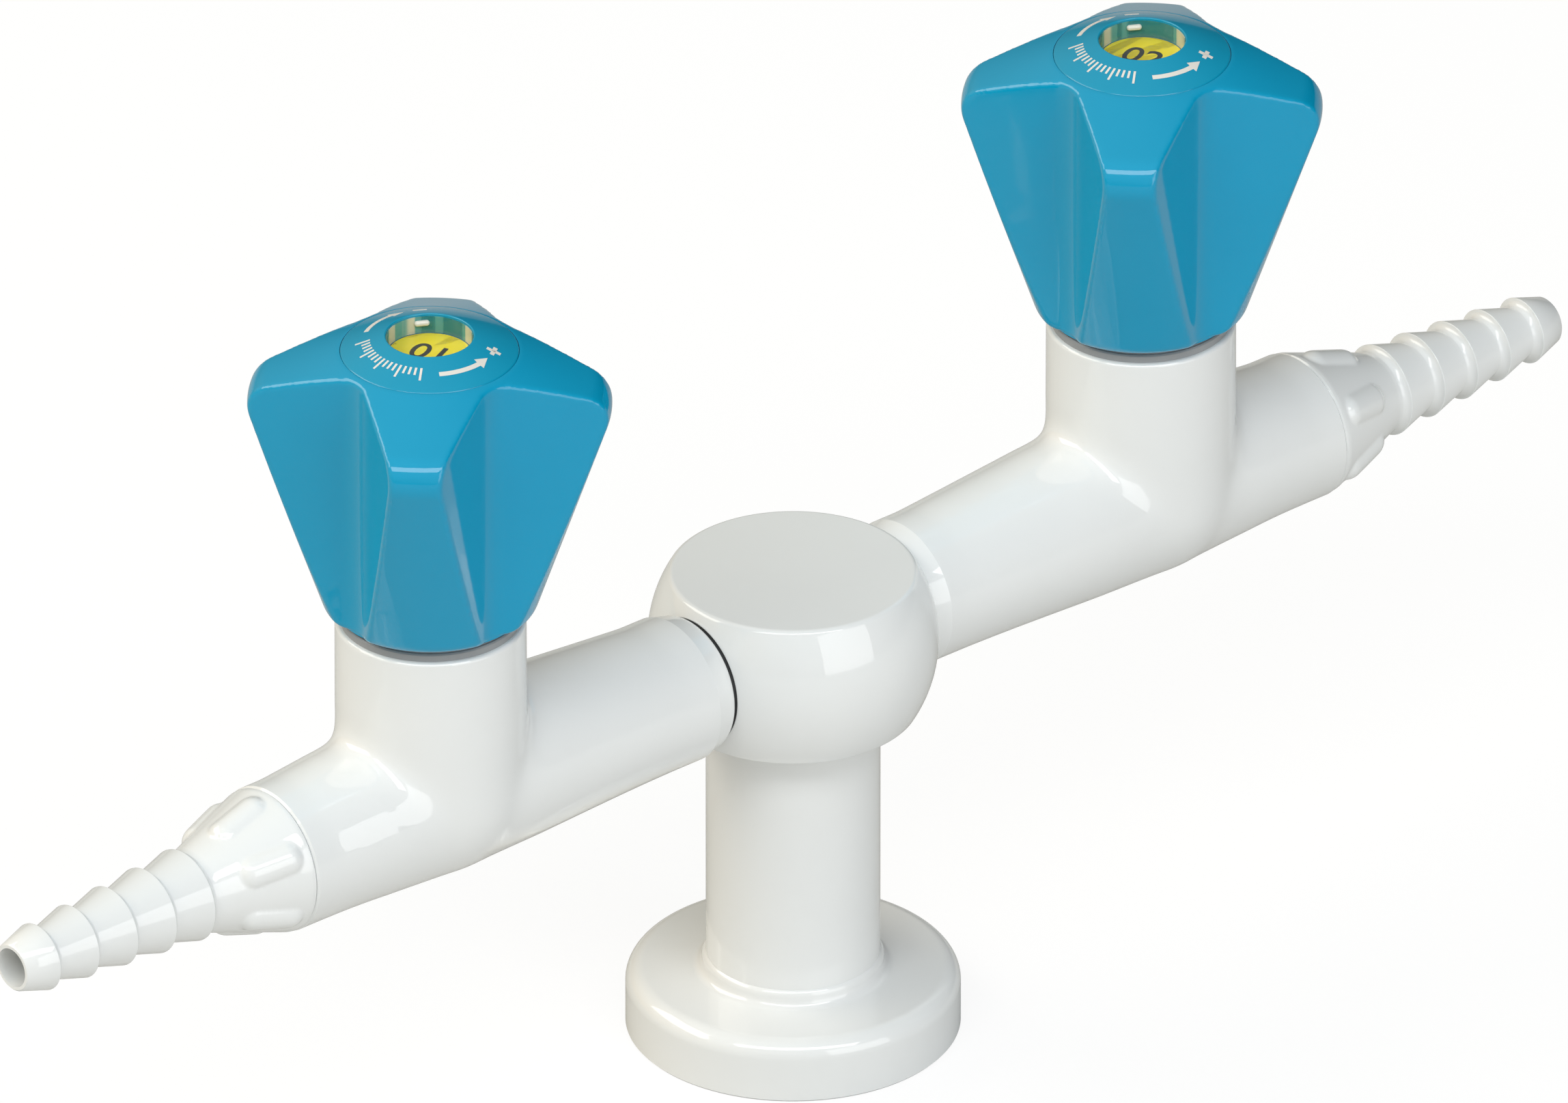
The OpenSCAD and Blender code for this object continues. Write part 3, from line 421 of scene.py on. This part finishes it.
def makeKnob(k):
    side = math.degrees(math.atan2(k["shoulderHeight"], k["shoulderRadius"] - k["footRadius"]))
    top = math.degrees(math.atan2(k["height"] - k["shoulderHeight"], k["shoulderRadius"] - k["topRadius"]))
    back = k["shoulderRound"] * math.tan(math.radians(180 - top - side) / 2)
    sideRun, sideRise = math.cos(math.radians(side)), math.sin(math.radians(side))
    middle = (k["shoulderRadius"] - back * sideRun - k["shoulderRound"] * sideRise,
              k["shoulderHeight"] - back * sideRise + k["shoulderRound"] * sideRun)
    footEdge = k["footRadius"] - k["footRound"] * math.tan(math.radians(side) / 2)
    outline = arc(footEdge, k["footRound"], k["footRound"], -90, side - 90, 8)
    outline += arc(*middle, k["shoulderRound"], side - 90, 90 - top, 16)
    outline += [(k["topRadius"], k["height"])]
    piece = turn("knob", [(radius, height + k["foot"]) for radius, height in outline], segments=k["segments"])
    tip = (math.sqrt(k["shoulderRadius"] ** 2 - k["lobeHalfWidth"] ** 2), k["lobeHalfWidth"])
    corner = ((tip[0] + tip[1]) * math.sqrt(0.5), (tip[0] - tip[1]) * math.sqrt(0.5))
    reach = math.hypot(corner[0] - k["valleyMiddle"], corner[1])
    lean = math.atan2(corner[1], corner[0] - k["valleyMiddle"]) - math.asin(k["valleyRound"] / reach)
    touch = k["valleyMiddle"] - k["valleyRound"] * math.sin(lean)
    apex = k["valleyMiddle"] - k["valleyRound"] / math.sin(lean)
    valley = [(k["valleyRound"], k["foot"] - 2), (k["valleyRound"], k["foot"] + 50)]
    for i in range(4):
        cutter = moved(turn("valley", valley, segments=180), shift(k["valleyMiddle"], 0, 0))
        selectVertices(cutter, lambda co: co.x > (touch + 0.05) * mm)
        bpy.ops.transform.resize(value=(k["valleyWiden"], k["valleyWiden"], 1),
                                 center_override=(apex * mm, 0, 0))
        bpy.ops.object.mode_set(mode="OBJECT")
        combine(piece, moved(cutter, rotate(90 * i, "Z")))
    remesh(piece, k["meshSize"], k["edgeRounds"])
    rim = [(footEdge, k["foot"]), (footEdge, k["foot"] + k["footRim"])]
    combine(piece, turn("footRim", rim, segments=k["segments"]), "UNION")
    crown = k["foot"] + k["height"]
    pocketFloor = crown - k["recess"][1] - k["pocket"][1]
    drill(piece, k["room"][0], k["foot"] - 2, k["foot"] + k["room"][1])
    drill(piece, k["recess"][0], crown - k["recess"][1], crown + 3)
    drill(piece, k["pocket"][0], pocketFloor, crown)
    drill(piece, k["stemHole"][0], k["foot"], k["foot"] + k["stemHole"][1])
    drill(piece, k["screwHole"][0], k["foot"] + k["screwHole"][1], pocketFloor + 1)
    return soften(piece)


cap = {
    "top": 77, "edge": 74.5, "radius": 13.2, "floor": 73.1, "windowRadius": 6.47, "segments": 192,
    "rimRound": 0.18, "rimSink": 0.198, "edgeRound": 0.35, "edgeSink": 0.245,
    "skirtRadius": 7.45, "skirtWall": 0.9, "skirtEnd": 67.1,
    "ledgeRadius": 5.27, "discFloor": 72.65, "ledgeFloor": 71.45,
    "slotDepth": 2.25, "slotSize": (3.2, 0.45, 1.2), "slotAngle": 60,
}


def makeCap(c):
    lean = math.degrees(math.atan2(c["top"] - c["edge"], c["radius"] - c["windowRadius"]))
    outline = [(c["ledgeRadius"], c["discFloor"]), (c["windowRadius"], c["discFloor"])]
    rim, edge = c["rimRound"], c["edgeRound"]
    outline += arc(c["windowRadius"] + rim, c["top"] - c["rimSink"], rim, 180, 90 - lean, 6)
    outline += arc(c["radius"] - edge, c["edge"] - c["edgeSink"], edge, 90 - lean, 0, 6)
    outline += [(c["radius"], c["floor"]), (c["skirtRadius"], c["floor"]), (c["skirtRadius"], c["skirtEnd"]),
                (c["skirtRadius"] - c["skirtWall"], c["skirtEnd"]),
                (c["skirtRadius"] - c["skirtWall"], c["ledgeFloor"]), (c["ledgeRadius"], c["ledgeFloor"]),
                (c["ledgeRadius"], c["discFloor"])]
    piece = turn("cap", outline, hollow=True, segments=c["segments"])
    deselectAll()
    slotPlace = (c["windowRadius"] * mm, 0, (c["top"] - c["slotDepth"]) * mm)
    bpy.ops.mesh.primitive_cube_add(size=mm, location=slotPlace)
    slot = bpy.context.object
    slot.scale = (c["slotSize"][2], c["slotSize"][0], c["slotSize"][1])
    bpy.ops.object.transform_apply()
    combine(piece, moved(slot, rotate(c["slotAngle"], "Z")))
    return soften(piece)


peg = {"radius": 0.45, "length": 1.4, "depth": 1.4, "fromAxis": 6.15, "angle": 60}


def makePeg(p):
    piece = capsule("peg", p["radius"], p["length"], 2)
    place = shift(p["fromAxis"], 0, cap["top"] - p["depth"]) @ rotate(90, "X")
    return soften(moved(piece, rotate(p["angle"], "Z") @ place))


windowWall = {"radius": 6.44, "thickness": 0.1, "low": 73.9, "top": 76.6}


def makeWindowWall(w):  # the clear window's upright rim, which lines the well in the cap
    inner = w["radius"] - w["thickness"]
    ring = [(w["radius"], w["low"]), (w["radius"], w["top"]), (inner, w["top"]), (inner, w["low"]),
            (w["radius"], w["low"])]
    return soften(turn("windowWall", ring, hollow=True, segments=96))


# Printed marks on the cap: plus and minus signs, their arrows and a plain scale
marks = {
    "radius": 9.85, "width": 0.72, "thickness": 0.03, "signSize": 2.1, "signWidth": 0.62,
    "plus": -57, "minus": 58, "plusArrow": (-122, -83), "minusArrow": (121, 85), "headWidth": 1.9,
    "headLength": 2.1, "headLean": -0.25, "scale": (140, 222), "ticks": 17, "longEvery": 4,
    "tickWidth": 0.34, "tick": 1.3, "longTick": 2.2, "tickFoot": 1.1, "drop": 2, "solid": 1.5,
}


def bar(length, width, radius, angle):  # a flat bar, its length along the radius
    deselectAll()
    bpy.ops.mesh.primitive_plane_add(size=mm)
    piece = bpy.context.object
    piece.scale = (length, width, 1)
    bpy.ops.object.transform_apply()
    selectFaces(piece, lambda face: True)
    bpy.ops.mesh.subdivide(number_cuts=5)
    bpy.ops.object.mode_set(mode="OBJECT")
    return moved(piece, rotate(angle, "Z") @ shift(radius, 0, 0))


def curvedArrow(m, start, end):
    way = 1 if end > start else -1
    band = bar(m["width"], 0.02, m["radius"], start)
    bpy.ops.object.mode_set(mode="EDIT")
    bpy.ops.mesh.select_mode(type="VERT")
    bpy.ops.mesh.select_all(action="DESELECT")
    bpy.ops.object.mode_set(mode="OBJECT")
    turned = rotate(-start, "Z")
    for vertex in band.data.vertices:
        vertex.select = (turned @ vertex.co).y * way > 0.009 * mm
    bpy.ops.object.mode_set(mode="EDIT")
    bpy.ops.mesh.spin(steps=30, angle=math.radians(start - end), center=(0, 0, 0), axis=(0, 0, 1))
    aim = Matrix.Rotation(math.radians(end), 3, "Z")
    middle = aim @ Vector((m["radius"] * mm, 0, 0))
    bpy.ops.mesh.extrude_edges_move(TRANSFORM_OT_translate={"value": aim @ Vector((0, 0.01 * way * mm, 0))})
    bpy.ops.transform.resize(value=[m["headWidth"] / m["width"]] * 3, center_override=middle)
    bpy.ops.mesh.extrude_edges_move(
        TRANSFORM_OT_translate={"value": aim @ Vector((m["headLean"] * mm, m["headLength"] * way * mm, 0))})
    bpy.ops.mesh.merge(type="CENTER")
    bpy.ops.object.mode_set(mode="OBJECT")
    return band


def makeMarks(m, cone):  # laid out flat above the cap, then dropped onto it
    plus = bar(m["signSize"], m["signWidth"], m["radius"], m["plus"])
    across = bar(m["signWidth"], m["signSize"], m["radius"], m["plus"])
    minus = bar(m["signWidth"], m["signSize"], m["radius"], m["minus"])
    parts = [plus, across, minus, curvedArrow(m, *m["plusArrow"]), curvedArrow(m, *m["minusArrow"])]
    for i in range(m["ticks"]):
        length = m["longTick"] if i % m["longEvery"] == 0 else m["tick"]
        angle = m["scale"][0] + (m["scale"][1] - m["scale"][0]) * i / (m["ticks"] - 1)
        parts.append(bar(length, m["tickWidth"], m["radius"] - m["tickFoot"] + length / 2, angle))
    piece = joined("marks", *parts)
    moved(piece, shift(0, 0, cap["top"] + m["drop"]))
    selectFaces(piece, lambda face: True)
    bpy.ops.mesh.remove_doubles(threshold=0.001 * mm)
    bpy.ops.mesh.normals_make_consistent(inside=False)
    bpy.ops.object.mode_set(mode="OBJECT")
    apply(piece, "SHRINKWRAP", target=cone, wrap_method="PROJECT", use_project_z=True,
          use_positive_direction=False, use_negative_direction=True, offset=m["thickness"] * mm)
    apply(piece, "SOLIDIFY", thickness=m["thickness"] * m["solid"] * mm, offset=0)
    return piece


number = {"size": 6.3, "stroke": 0.05, "thickness": 0.02, "discTop": 73.85, "turn": -66,
          "names": {"left": "01", "right": "02"}}


def makeNumber(n, text):
    deselectAll()
    bpy.ops.object.text_add(location=(0, 0, 0))
    piece = bpy.context.object
    piece.data.body = text
    piece.data.size = n["size"] * mm
    piece.data.extrude = n["thickness"] * mm
    piece.data.offset = n["stroke"] * mm
    piece.data.align_x = "CENTER"
    piece.data.align_y = "CENTER"
    bpy.ops.object.convert(target="MESH")
    piece = bpy.context.object
    return moved(piece, shift(0, 0, n["discTop"] + n["thickness"]) @ rotate(n["turn"], "Z"))


# Finishes
class Wire:
    def __init__(self, tree, socket=None):
        self.tree = tree
        self.socket = socket

    def node(self, kind, settings=None, sockets=None, out=0):
        made = self.tree.nodes.new("ShaderNode" + kind)
        for key, value in (settings or {}).items():
            if key == "stops":
                ramp = made.color_ramp.elements
                while len(ramp) < len(value):
                    ramp.new(0.5)
                for stop, (place, shade) in zip(ramp, value):
                    stop.position = place
                    stop.color = shade
            else:
                setattr(made, key, value)
        for key, value in (sockets or {}).items():
            if isinstance(value, Wire):
                self.tree.links.new(value.socket, made.inputs[key])
            else:
                made.inputs[key].default_value = value
        return Wire(self.tree, made.outputs[out])

    def sum(self, operation, first, second):
        return self.node("Math", {"operation": operation}, {0: first, 1: second})

    def __add__(self, other):
        return self.sum("ADD", self, other)

    def __sub__(self, other):
        return self.sum("SUBTRACT", self, other)

    def __rsub__(self, other):
        return self.sum("SUBTRACT", other, self)

    def __mul__(self, other):
        return self.sum("MULTIPLY", self, other)

    __radd__ = __add__
    __rmul__ = __mul__


def newFinish(name, fixed):
    made = bpy.data.materials.new(name)
    made.use_nodes = True
    shader = made.node_tree.nodes["Principled BSDF"]
    for key, value in fixed.items():
        shader.inputs[key].default_value = value
    return made, Wire(made.node_tree), shader


def feed(wire, shader, **links):
    names = {"color": "Base Color", "roughness": "Roughness", "normal": "Normal", "alpha": "Alpha"}
    for key, value in links.items():
        wire.tree.links.new(value.socket, shader.inputs[names[key]])


def grain(start, coords, size, detail=3):  # noise whose waves are that many millimetres long
    return start.node("TexNoise", {}, {"Vector": coords, "Scale": 1000 / size, "Detail": detail,
                                       "Roughness": 0.5})


def mixed(start, factor, first, second):
    return start.node("Mix", {"data_type": "RGBA"}, {0: factor, 6: first, 7: second}, out=2)


def surface(name, look):
    made, start, shader = newFinish(name, look["fixed"])
    coords = start.node("TexCoord", out="Object")
    broad = grain(start, coords, look["broad"])
    fine = grain(start, coords, look["fine"], 2)
    shade = mixed(start, broad, look["dark"], look["light"])
    rough = look["rough"] + (fine - 0.5) * look["roughVary"]
    bump = start.node("Bump", {}, {"Strength": look["bump"], "Distance": look["depth"] * mm,
                                   "Height": fine * 0.6 + broad * 0.4})
    feed(start, shader, color=shade, roughness=rough, normal=bump)
    return made


looks = {
    "white_coat": {
        "fixed": {"Coat Weight": 1.0, "Coat Roughness": 0.015, "Coat IOR": 1.62, "Specular IOR Level": 0.1},
        "broad": 9, "fine": 1.3, "dark": (0.775, 0.785, 0.78, 1), "light": (0.795, 0.805, 0.80, 1),
        "rough": 0.45, "roughVary": 0.1, "bump": 0.05, "depth": 0.03},
    "blue_knob": {
        "fixed": {"IOR": 1.52}, "broad": 14, "fine": 0.9,
        "dark": (0.002, 0.285, 0.485, 1), "light": (0.003, 0.305, 0.515, 1), "rough": 0.05, "roughVary": 0.03,
        "bump": 0.02, "depth": 0.01},
    "blue_cap": {
        "fixed": {"IOR": 1.52}, "broad": 8, "fine": 0.5,
        "dark": (0.003, 0.275, 0.45, 1), "light": (0.005, 0.295, 0.475, 1), "rough": 0.1, "roughVary": 0.05,
        "bump": 0.03, "depth": 0.01},
    "ink": {
        "fixed": {"IOR": 1.45}, "broad": 3, "fine": 0.4, "dark": (0.70, 0.67, 0.62, 1),
        "light": (0.76, 0.73, 0.68, 1), "rough": 0.45, "roughVary": 0.1, "bump": 0.1, "depth": 0.01},
    "print": {
        "fixed": {"IOR": 1.45}, "broad": 3, "fine": 0.4, "dark": (0.012, 0.013, 0.016, 1),
        "light": (0.02, 0.02, 0.024, 1), "rough": 0.35, "roughVary": 0.1, "bump": 0.1, "depth": 0.01},
    "yellow_disc": {
        "fixed": {"Coat Weight": 0.5, "Coat Roughness": 0.03}, "broad": 5, "fine": 0.5,
        "dark": (0.92, 0.745, 0.003, 1), "light": (0.95, 0.78, 0.006, 1), "rough": 0.15, "roughVary": 0.06,
        "bump": 0.05, "depth": 0.01},
    "grey_collar": {
        "fixed": {"IOR": 1.46}, "broad": 5, "fine": 0.5, "dark": (0.28, 0.29, 0.30, 1),
        "light": (0.32, 0.33, 0.34, 1), "rough": 0.38, "roughVary": 0.12, "bump": 0.15, "depth": 0.02},
    "black_rubber": {
        "fixed": {"IOR": 1.5}, "broad": 4, "fine": 0.35, "dark": (0.012, 0.012, 0.013, 1),
        "light": (0.022, 0.022, 0.024, 1), "rough": 0.55, "roughVary": 0.2, "bump": 0.3, "depth": 0.03},
    "pegWhite": {
        "fixed": {"Coat Weight": 0.4, "Coat Roughness": 0.03}, "broad": 2, "fine": 0.3,
        "dark": (0.72, 0.70, 0.62, 1), "light": (0.80, 0.78, 0.70, 1), "rough": 0.2, "roughVary": 0.08,
        "bump": 0.05, "depth": 0.01},
}


toolMarks = {"stretch": (60, 60, 4000), "size": 1.2, "detail": 2, "share": 0.4, "roughVary": 0.15,
             "bump": 0.15, "depth": 0.02}


def turnedMetal(name, look, marked):  # fine tool marks that run round the piece
    made, start, shader = newFinish(name, look["fixed"])
    coords = start.node("TexCoord", out="Object")
    broad = grain(start, coords, look["broad"])
    stretched = start.node("Mapping", {}, {"Vector": coords, "Scale": marked["stretch"]})
    lines = start.node("TexNoise", {}, {"Vector": stretched, "Scale": marked["size"],
                                        "Detail": marked["detail"]})
    blend = broad * (1 - marked["share"]) + lines * marked["share"]
    bump = start.node("Bump", {}, {"Strength": marked["bump"], "Distance": marked["depth"] * mm,
                                   "Height": lines})
    feed(start, shader, color=mixed(start, blend, look["dark"], look["light"]),
         roughness=look["rough"] + (lines - 0.5) * marked["roughVary"], normal=bump)
    return made


metals = {
    "brass": {"fixed": {"Metallic": 1.0}, "broad": 6, "dark": (0.50, 0.35, 0.12, 1),
              "light": (0.62, 0.45, 0.18, 1), "rough": 0.3},
    "steel": {"fixed": {"Metallic": 1.0}, "broad": 6, "dark": (0.46, 0.47, 0.48, 1),
              "light": (0.58, 0.59, 0.60, 1), "rough": 0.3},
}

lens = {"tint": (0.93, 0.96, 0.95, 1), "dust": (0.86, 0.88, 0.86, 1), "dustSize": 2.5,
        "ior": 1.49, "rough": 0.03, "roughVary": 0.03, "alpha": 0.035, "dustAlpha": 0.06}


def clearLens(name, look):
    made, start, shader = newFinish(name, {"IOR": look["ior"]})
    coords = start.node("TexCoord", out="Object")
    dust = grain(start, coords, look["dustSize"], 4)
    feed(start, shader, color=mixed(start, dust, look["tint"], look["dust"]),
         roughness=look["rough"] + dust * look["roughVary"],
         alpha=look["alpha"] + dust * (look["dustAlpha"] - look["alpha"]))
    return made


# Painted light: the window wall's ramp paints lamp reflections as upright bands, a cream painted reflection of the
# warm lamp, and teal painted bounce light from the yellow disc
paintedReflectionStreaks = {
    "stops": [(0.44, (0.05, 0.30, 0.30, 1)), (0.47, (0.15, 0.47, 0.44, 1)), (0.56, (0.15, 0.47, 0.44, 1)),
              (0.585, (0.82, 0.80, 0.62, 1))],
    "ior": 1.49, "rough": 0.06, "roughVary": 0.05, "alpha": 0.6, "alphaVary": 0.2, "width": 3.4,
}


def reflectionPaintedGlass(name, look):  # a moulded clear wall whose ribs' reflections are painted on as upright streaks: painted highlights from the lamps, a cream painted reflection of the warm lamp, on a teal tinted with painted light from the yellow disc
    made, start, shader = newFinish(name, {"IOR": look["ior"]})
    upright = start.node("Mapping", {}, {"Vector": start.node("TexCoord", out="Object"), "Scale": (1, 1, 0)})
    wave = grain(start, upright, look["width"], 1)
    feed(start, shader, color=start.node("ValToRGB", {"stops": look["stops"]}, {"Fac": wave}),
         roughness=look["rough"] + wave * look["roughVary"],
         alpha=look["alpha"] + (wave - 0.5) * look["alphaVary"])
    return made


finish = {name: surface(name, look) for name, look in looks.items()}
finish.update({name: turnedMetal(name, look, toolMarks) for name, look in metals.items()})
finish["clear_lens"] = clearLens("clear_lens", lens)
finish["paintedReflectionStreaks"] = reflectionPaintedGlass("paintedReflectionStreaks", paintedReflectionStreaks)
print("finishes made:", len(finish))


def dress(piece, name):
    piece.data.materials.clear()
    piece.data.materials.append(finish[name])
    return piece


def fit(piece, body, slotName, *nodes, look=None):
    dress(piece, look or slotName)
    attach(piece, body)
    if nodes:
        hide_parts(*nodes)
    return piece


slotOf = {row["node"]: row["material_slot"] for row in frame["record"]["subparts"]}
for name, node in frame["nodes"].items():
    dress(node, slotOf[name])

fit(makeFlange(flange), "stand", "white_coat", "base_flange")
print("base flange made")
fit(makeHub(ball, valve), "stand", "white_coat", "hub")
print("hub made")

valvePattern = makeValveBody(valve)
print("valve body made:", len(valvePattern.data.polygons), "faces")
nozzlePattern = makeNozzle(nozzle)
print("hose nozzle made:", len(nozzlePattern.data.polygons), "faces")
knobPattern = makeKnob(knob)
print("knob made:", len(knobPattern.data.polygons), "faces")
capPattern = makeCap(cap)
pegPattern = makePeg(peg)
wallPattern = makeWindowWall(windowWall)
marksPattern = makeMarks(marks, capPattern)
print("cap and marks made")

for side in sides:
    control = side + "_control"
    upright = Matrix.Translation(knobAxis[side])
    ending = side.capitalize()
    onArm = armPlace[side]
    fit(copied(valvePattern, "valveBody" + ending, onArm), "stand", "white_coat", "valve_body_" + side)
    fit(copied(nozzlePattern, "hoseNozzle" + ending, onArm), "stand", "white_coat", "hose_nozzle_" + side)
    fit(copied(knobPattern, "knob" + ending, upright), control, "blue_knob", "knob_" + side)
    fit(copied(capPattern, "indexCap" + ending, upright), control, "blue_cap", "index_cap_" + side)
    fit(copied(pegPattern, "indexPeg" + ending, upright), control, "white_coat", look="pegWhite")
    # the window wall carries painted reflections and painted bounce light in its colour
    fit(copied(wallPattern, "windowWall" + ending, upright), control, "clear_lens", look="paintedReflectionStreaks")
    fit(copied(marksPattern, "capMarks" + ending, upright), control, "blue_cap", look="ink")
    digits = moved(makeNumber(number, number["names"][side]), upright)
    digits.name = "discNumber" + ending
    fit(digits, control, "yellow_disc", look="print")
for pattern in (valvePattern, nozzlePattern, knobPattern, capPattern, pegPattern, wallPattern, marksPattern):
    bpy.data.objects.remove(pattern)
print("both arms placed")

# Floor, camera and light
studio = {
    "viewRight": (0.758, -0.652, 0.0), "viewUp": (0.319, 0.371, 0.872),
    "viewBack": (-0.5687, -0.6613, 0.4894),
    "aim": (-1.35, 69.65), "distance": 7.79, "lens": 1200, "sensor": 36,
    "floorSize": 100, "floorColor": (0.66, 0.66, 0.65, 1), "floorShadow": 0.25, "floorGlow": 0.847,
    "floorDim": 0.2,  # how much darker the floor is in reflections
    "glows": [  # broad lights of the sky: azimuth and height in degrees, then colour
        (120, 8, (0.57, 0.40, 0.21)),
        (90, 45, (0.38, 0.36, 0.31)),
        (-130, 60, (0.33, 0.44, 0.52)),
        (-100, 8, (0.54, 0.53, 0.51)),
        (180, 20, (0.45, 0.40, 0.30)),
        (0, 90, (0.24, 0.25, 0.25)),
    ],
    "lamps": {  # azimuth and height in degrees, width and height in degrees, colour, radiance
        "frontSoftbox": (-86, 13, 42, 36, (1, 1, 1), 1.8),
        "topSoftbox": (-128, 50, 70, 16, (1, 1, 1), 4.2),
        "rearSoftbox": (138, 38, 50, 26, (1, 0.97, 0.88), 3.3),
    },
    "lampDistance": 1.5, "lampsFace": (0, 0, 0.09), "glowSharpness": 4.0, "farthest": 100,
}


def toward(azimuth, height):  # a direction from two angles in degrees
    a, e = math.radians(azimuth), math.radians(height)
    return Vector((math.cos(a) * math.cos(e), math.sin(a) * math.cos(e), math.sin(e)))


def makeStudio(s):
    bpy.ops.mesh.primitive_plane_add(size=s["floorSize"])
    floor = bpy.context.object
    floor.name = "floor"
    made, start, shader = newFinish("floor", {"Base Color": s["floorColor"], "Roughness": 0.9,
                                              "Specular IOR Level": 0.0})
    seen = start.node("LightPath", out="Is Camera Ray")
    glowShare = 1 - s["floorShadow"]  # to the camera the floor is mostly a white glow, which keeps it white
    glow = start.node("Emission", {}, {"Color": (1, 1, 1, 1), "Strength": s["floorGlow"] / glowShare})
    output = made.node_tree.nodes["Material Output"]
    plain = Wire(start.tree, shader.outputs[0])
    both = start.node("MixShader", {}, {0: seen * glowShare, 1: plain, 2: glow})
    mirrored = start.node("LightPath", out="Is Glossy Ray")
    dark = start.node("Emission", {}, {"Strength": 0.0})
    whole = start.node("MixShader", {}, {0: mirrored * s["floorDim"], 1: both, 2: dark})
    made.node_tree.links.new(whole.socket, output.inputs["Surface"])
    floor.data.materials.append(made)

    right, up, back = (Vector(s[key]) for key in ("viewRight", "viewUp", "viewBack"))
    target = (right * s["aim"][0] + up * s["aim"][1]) * mm
    bpy.ops.object.camera_add(location=target + back * s["distance"])
    camera = bpy.context.object
    camera.rotation_euler = (-back).to_track_quat("-Z", "Y").to_euler()
    camera.data.lens = s["lens"]
    camera.data.sensor_width = s["sensor"]
    camera.data.clip_end = s["farthest"]
    bpy.context.scene.camera = camera

    centre = Vector(s["lampsFace"])
    for name, (azimuth, height, wide, tall, color, radiance) in s["lamps"].items():
        away = toward(azimuth, height)
        bpy.ops.object.light_add(type="AREA", location=centre + away * s["lampDistance"])
        lamp = bpy.context.object
        lamp.name = name
        lamp.rotation_euler = (-away).to_track_quat("-Z", "Y").to_euler()
        lamp.data.shape = "RECTANGLE"
        lamp.data.size = 2 * s["lampDistance"] * math.tan(math.radians(wide / 2))
        lamp.data.size_y = 2 * s["lampDistance"] * math.tan(math.radians(tall / 2))
        lamp.data.color = color
        lamp.data.energy = radiance * math.pi * lamp.data.size * lamp.data.size_y
        lamp.visible_camera = False

    world = bpy.data.worlds.new("studio")
    bpy.context.scene.world = world
    world.use_nodes = True
    start = Wire(world.node_tree)
    way = start.node("TexCoord", out="Generated")
    sky = None
    for azimuth, height, color in s["glows"]:
        facing = start.node("VectorMath", {"operation": "DOT_PRODUCT"}, {0: way, 1: toward(azimuth, height)},
                            out="Value")
        lobe = start.sum("POWER", start.sum("MAXIMUM", facing, 0.0), s["glowSharpness"])
        light = start.node("VectorMath", {"operation": "SCALE"}, {0: color, "Scale": lobe})
        sky = light if sky is None else start.node("VectorMath", {"operation": "ADD"}, {0: sky, 1: light})
    shown = mixed(start, start.node("LightPath", out="Is Camera Ray"), sky, (1, 1, 1, 1))
    background = world.node_tree.nodes["Background"]
    world.node_tree.links.new(shown.socket, background.inputs["Color"])


makeStudio(studio)
bpy.context.scene.view_settings.view_transform = "Standard"
print("studio made")
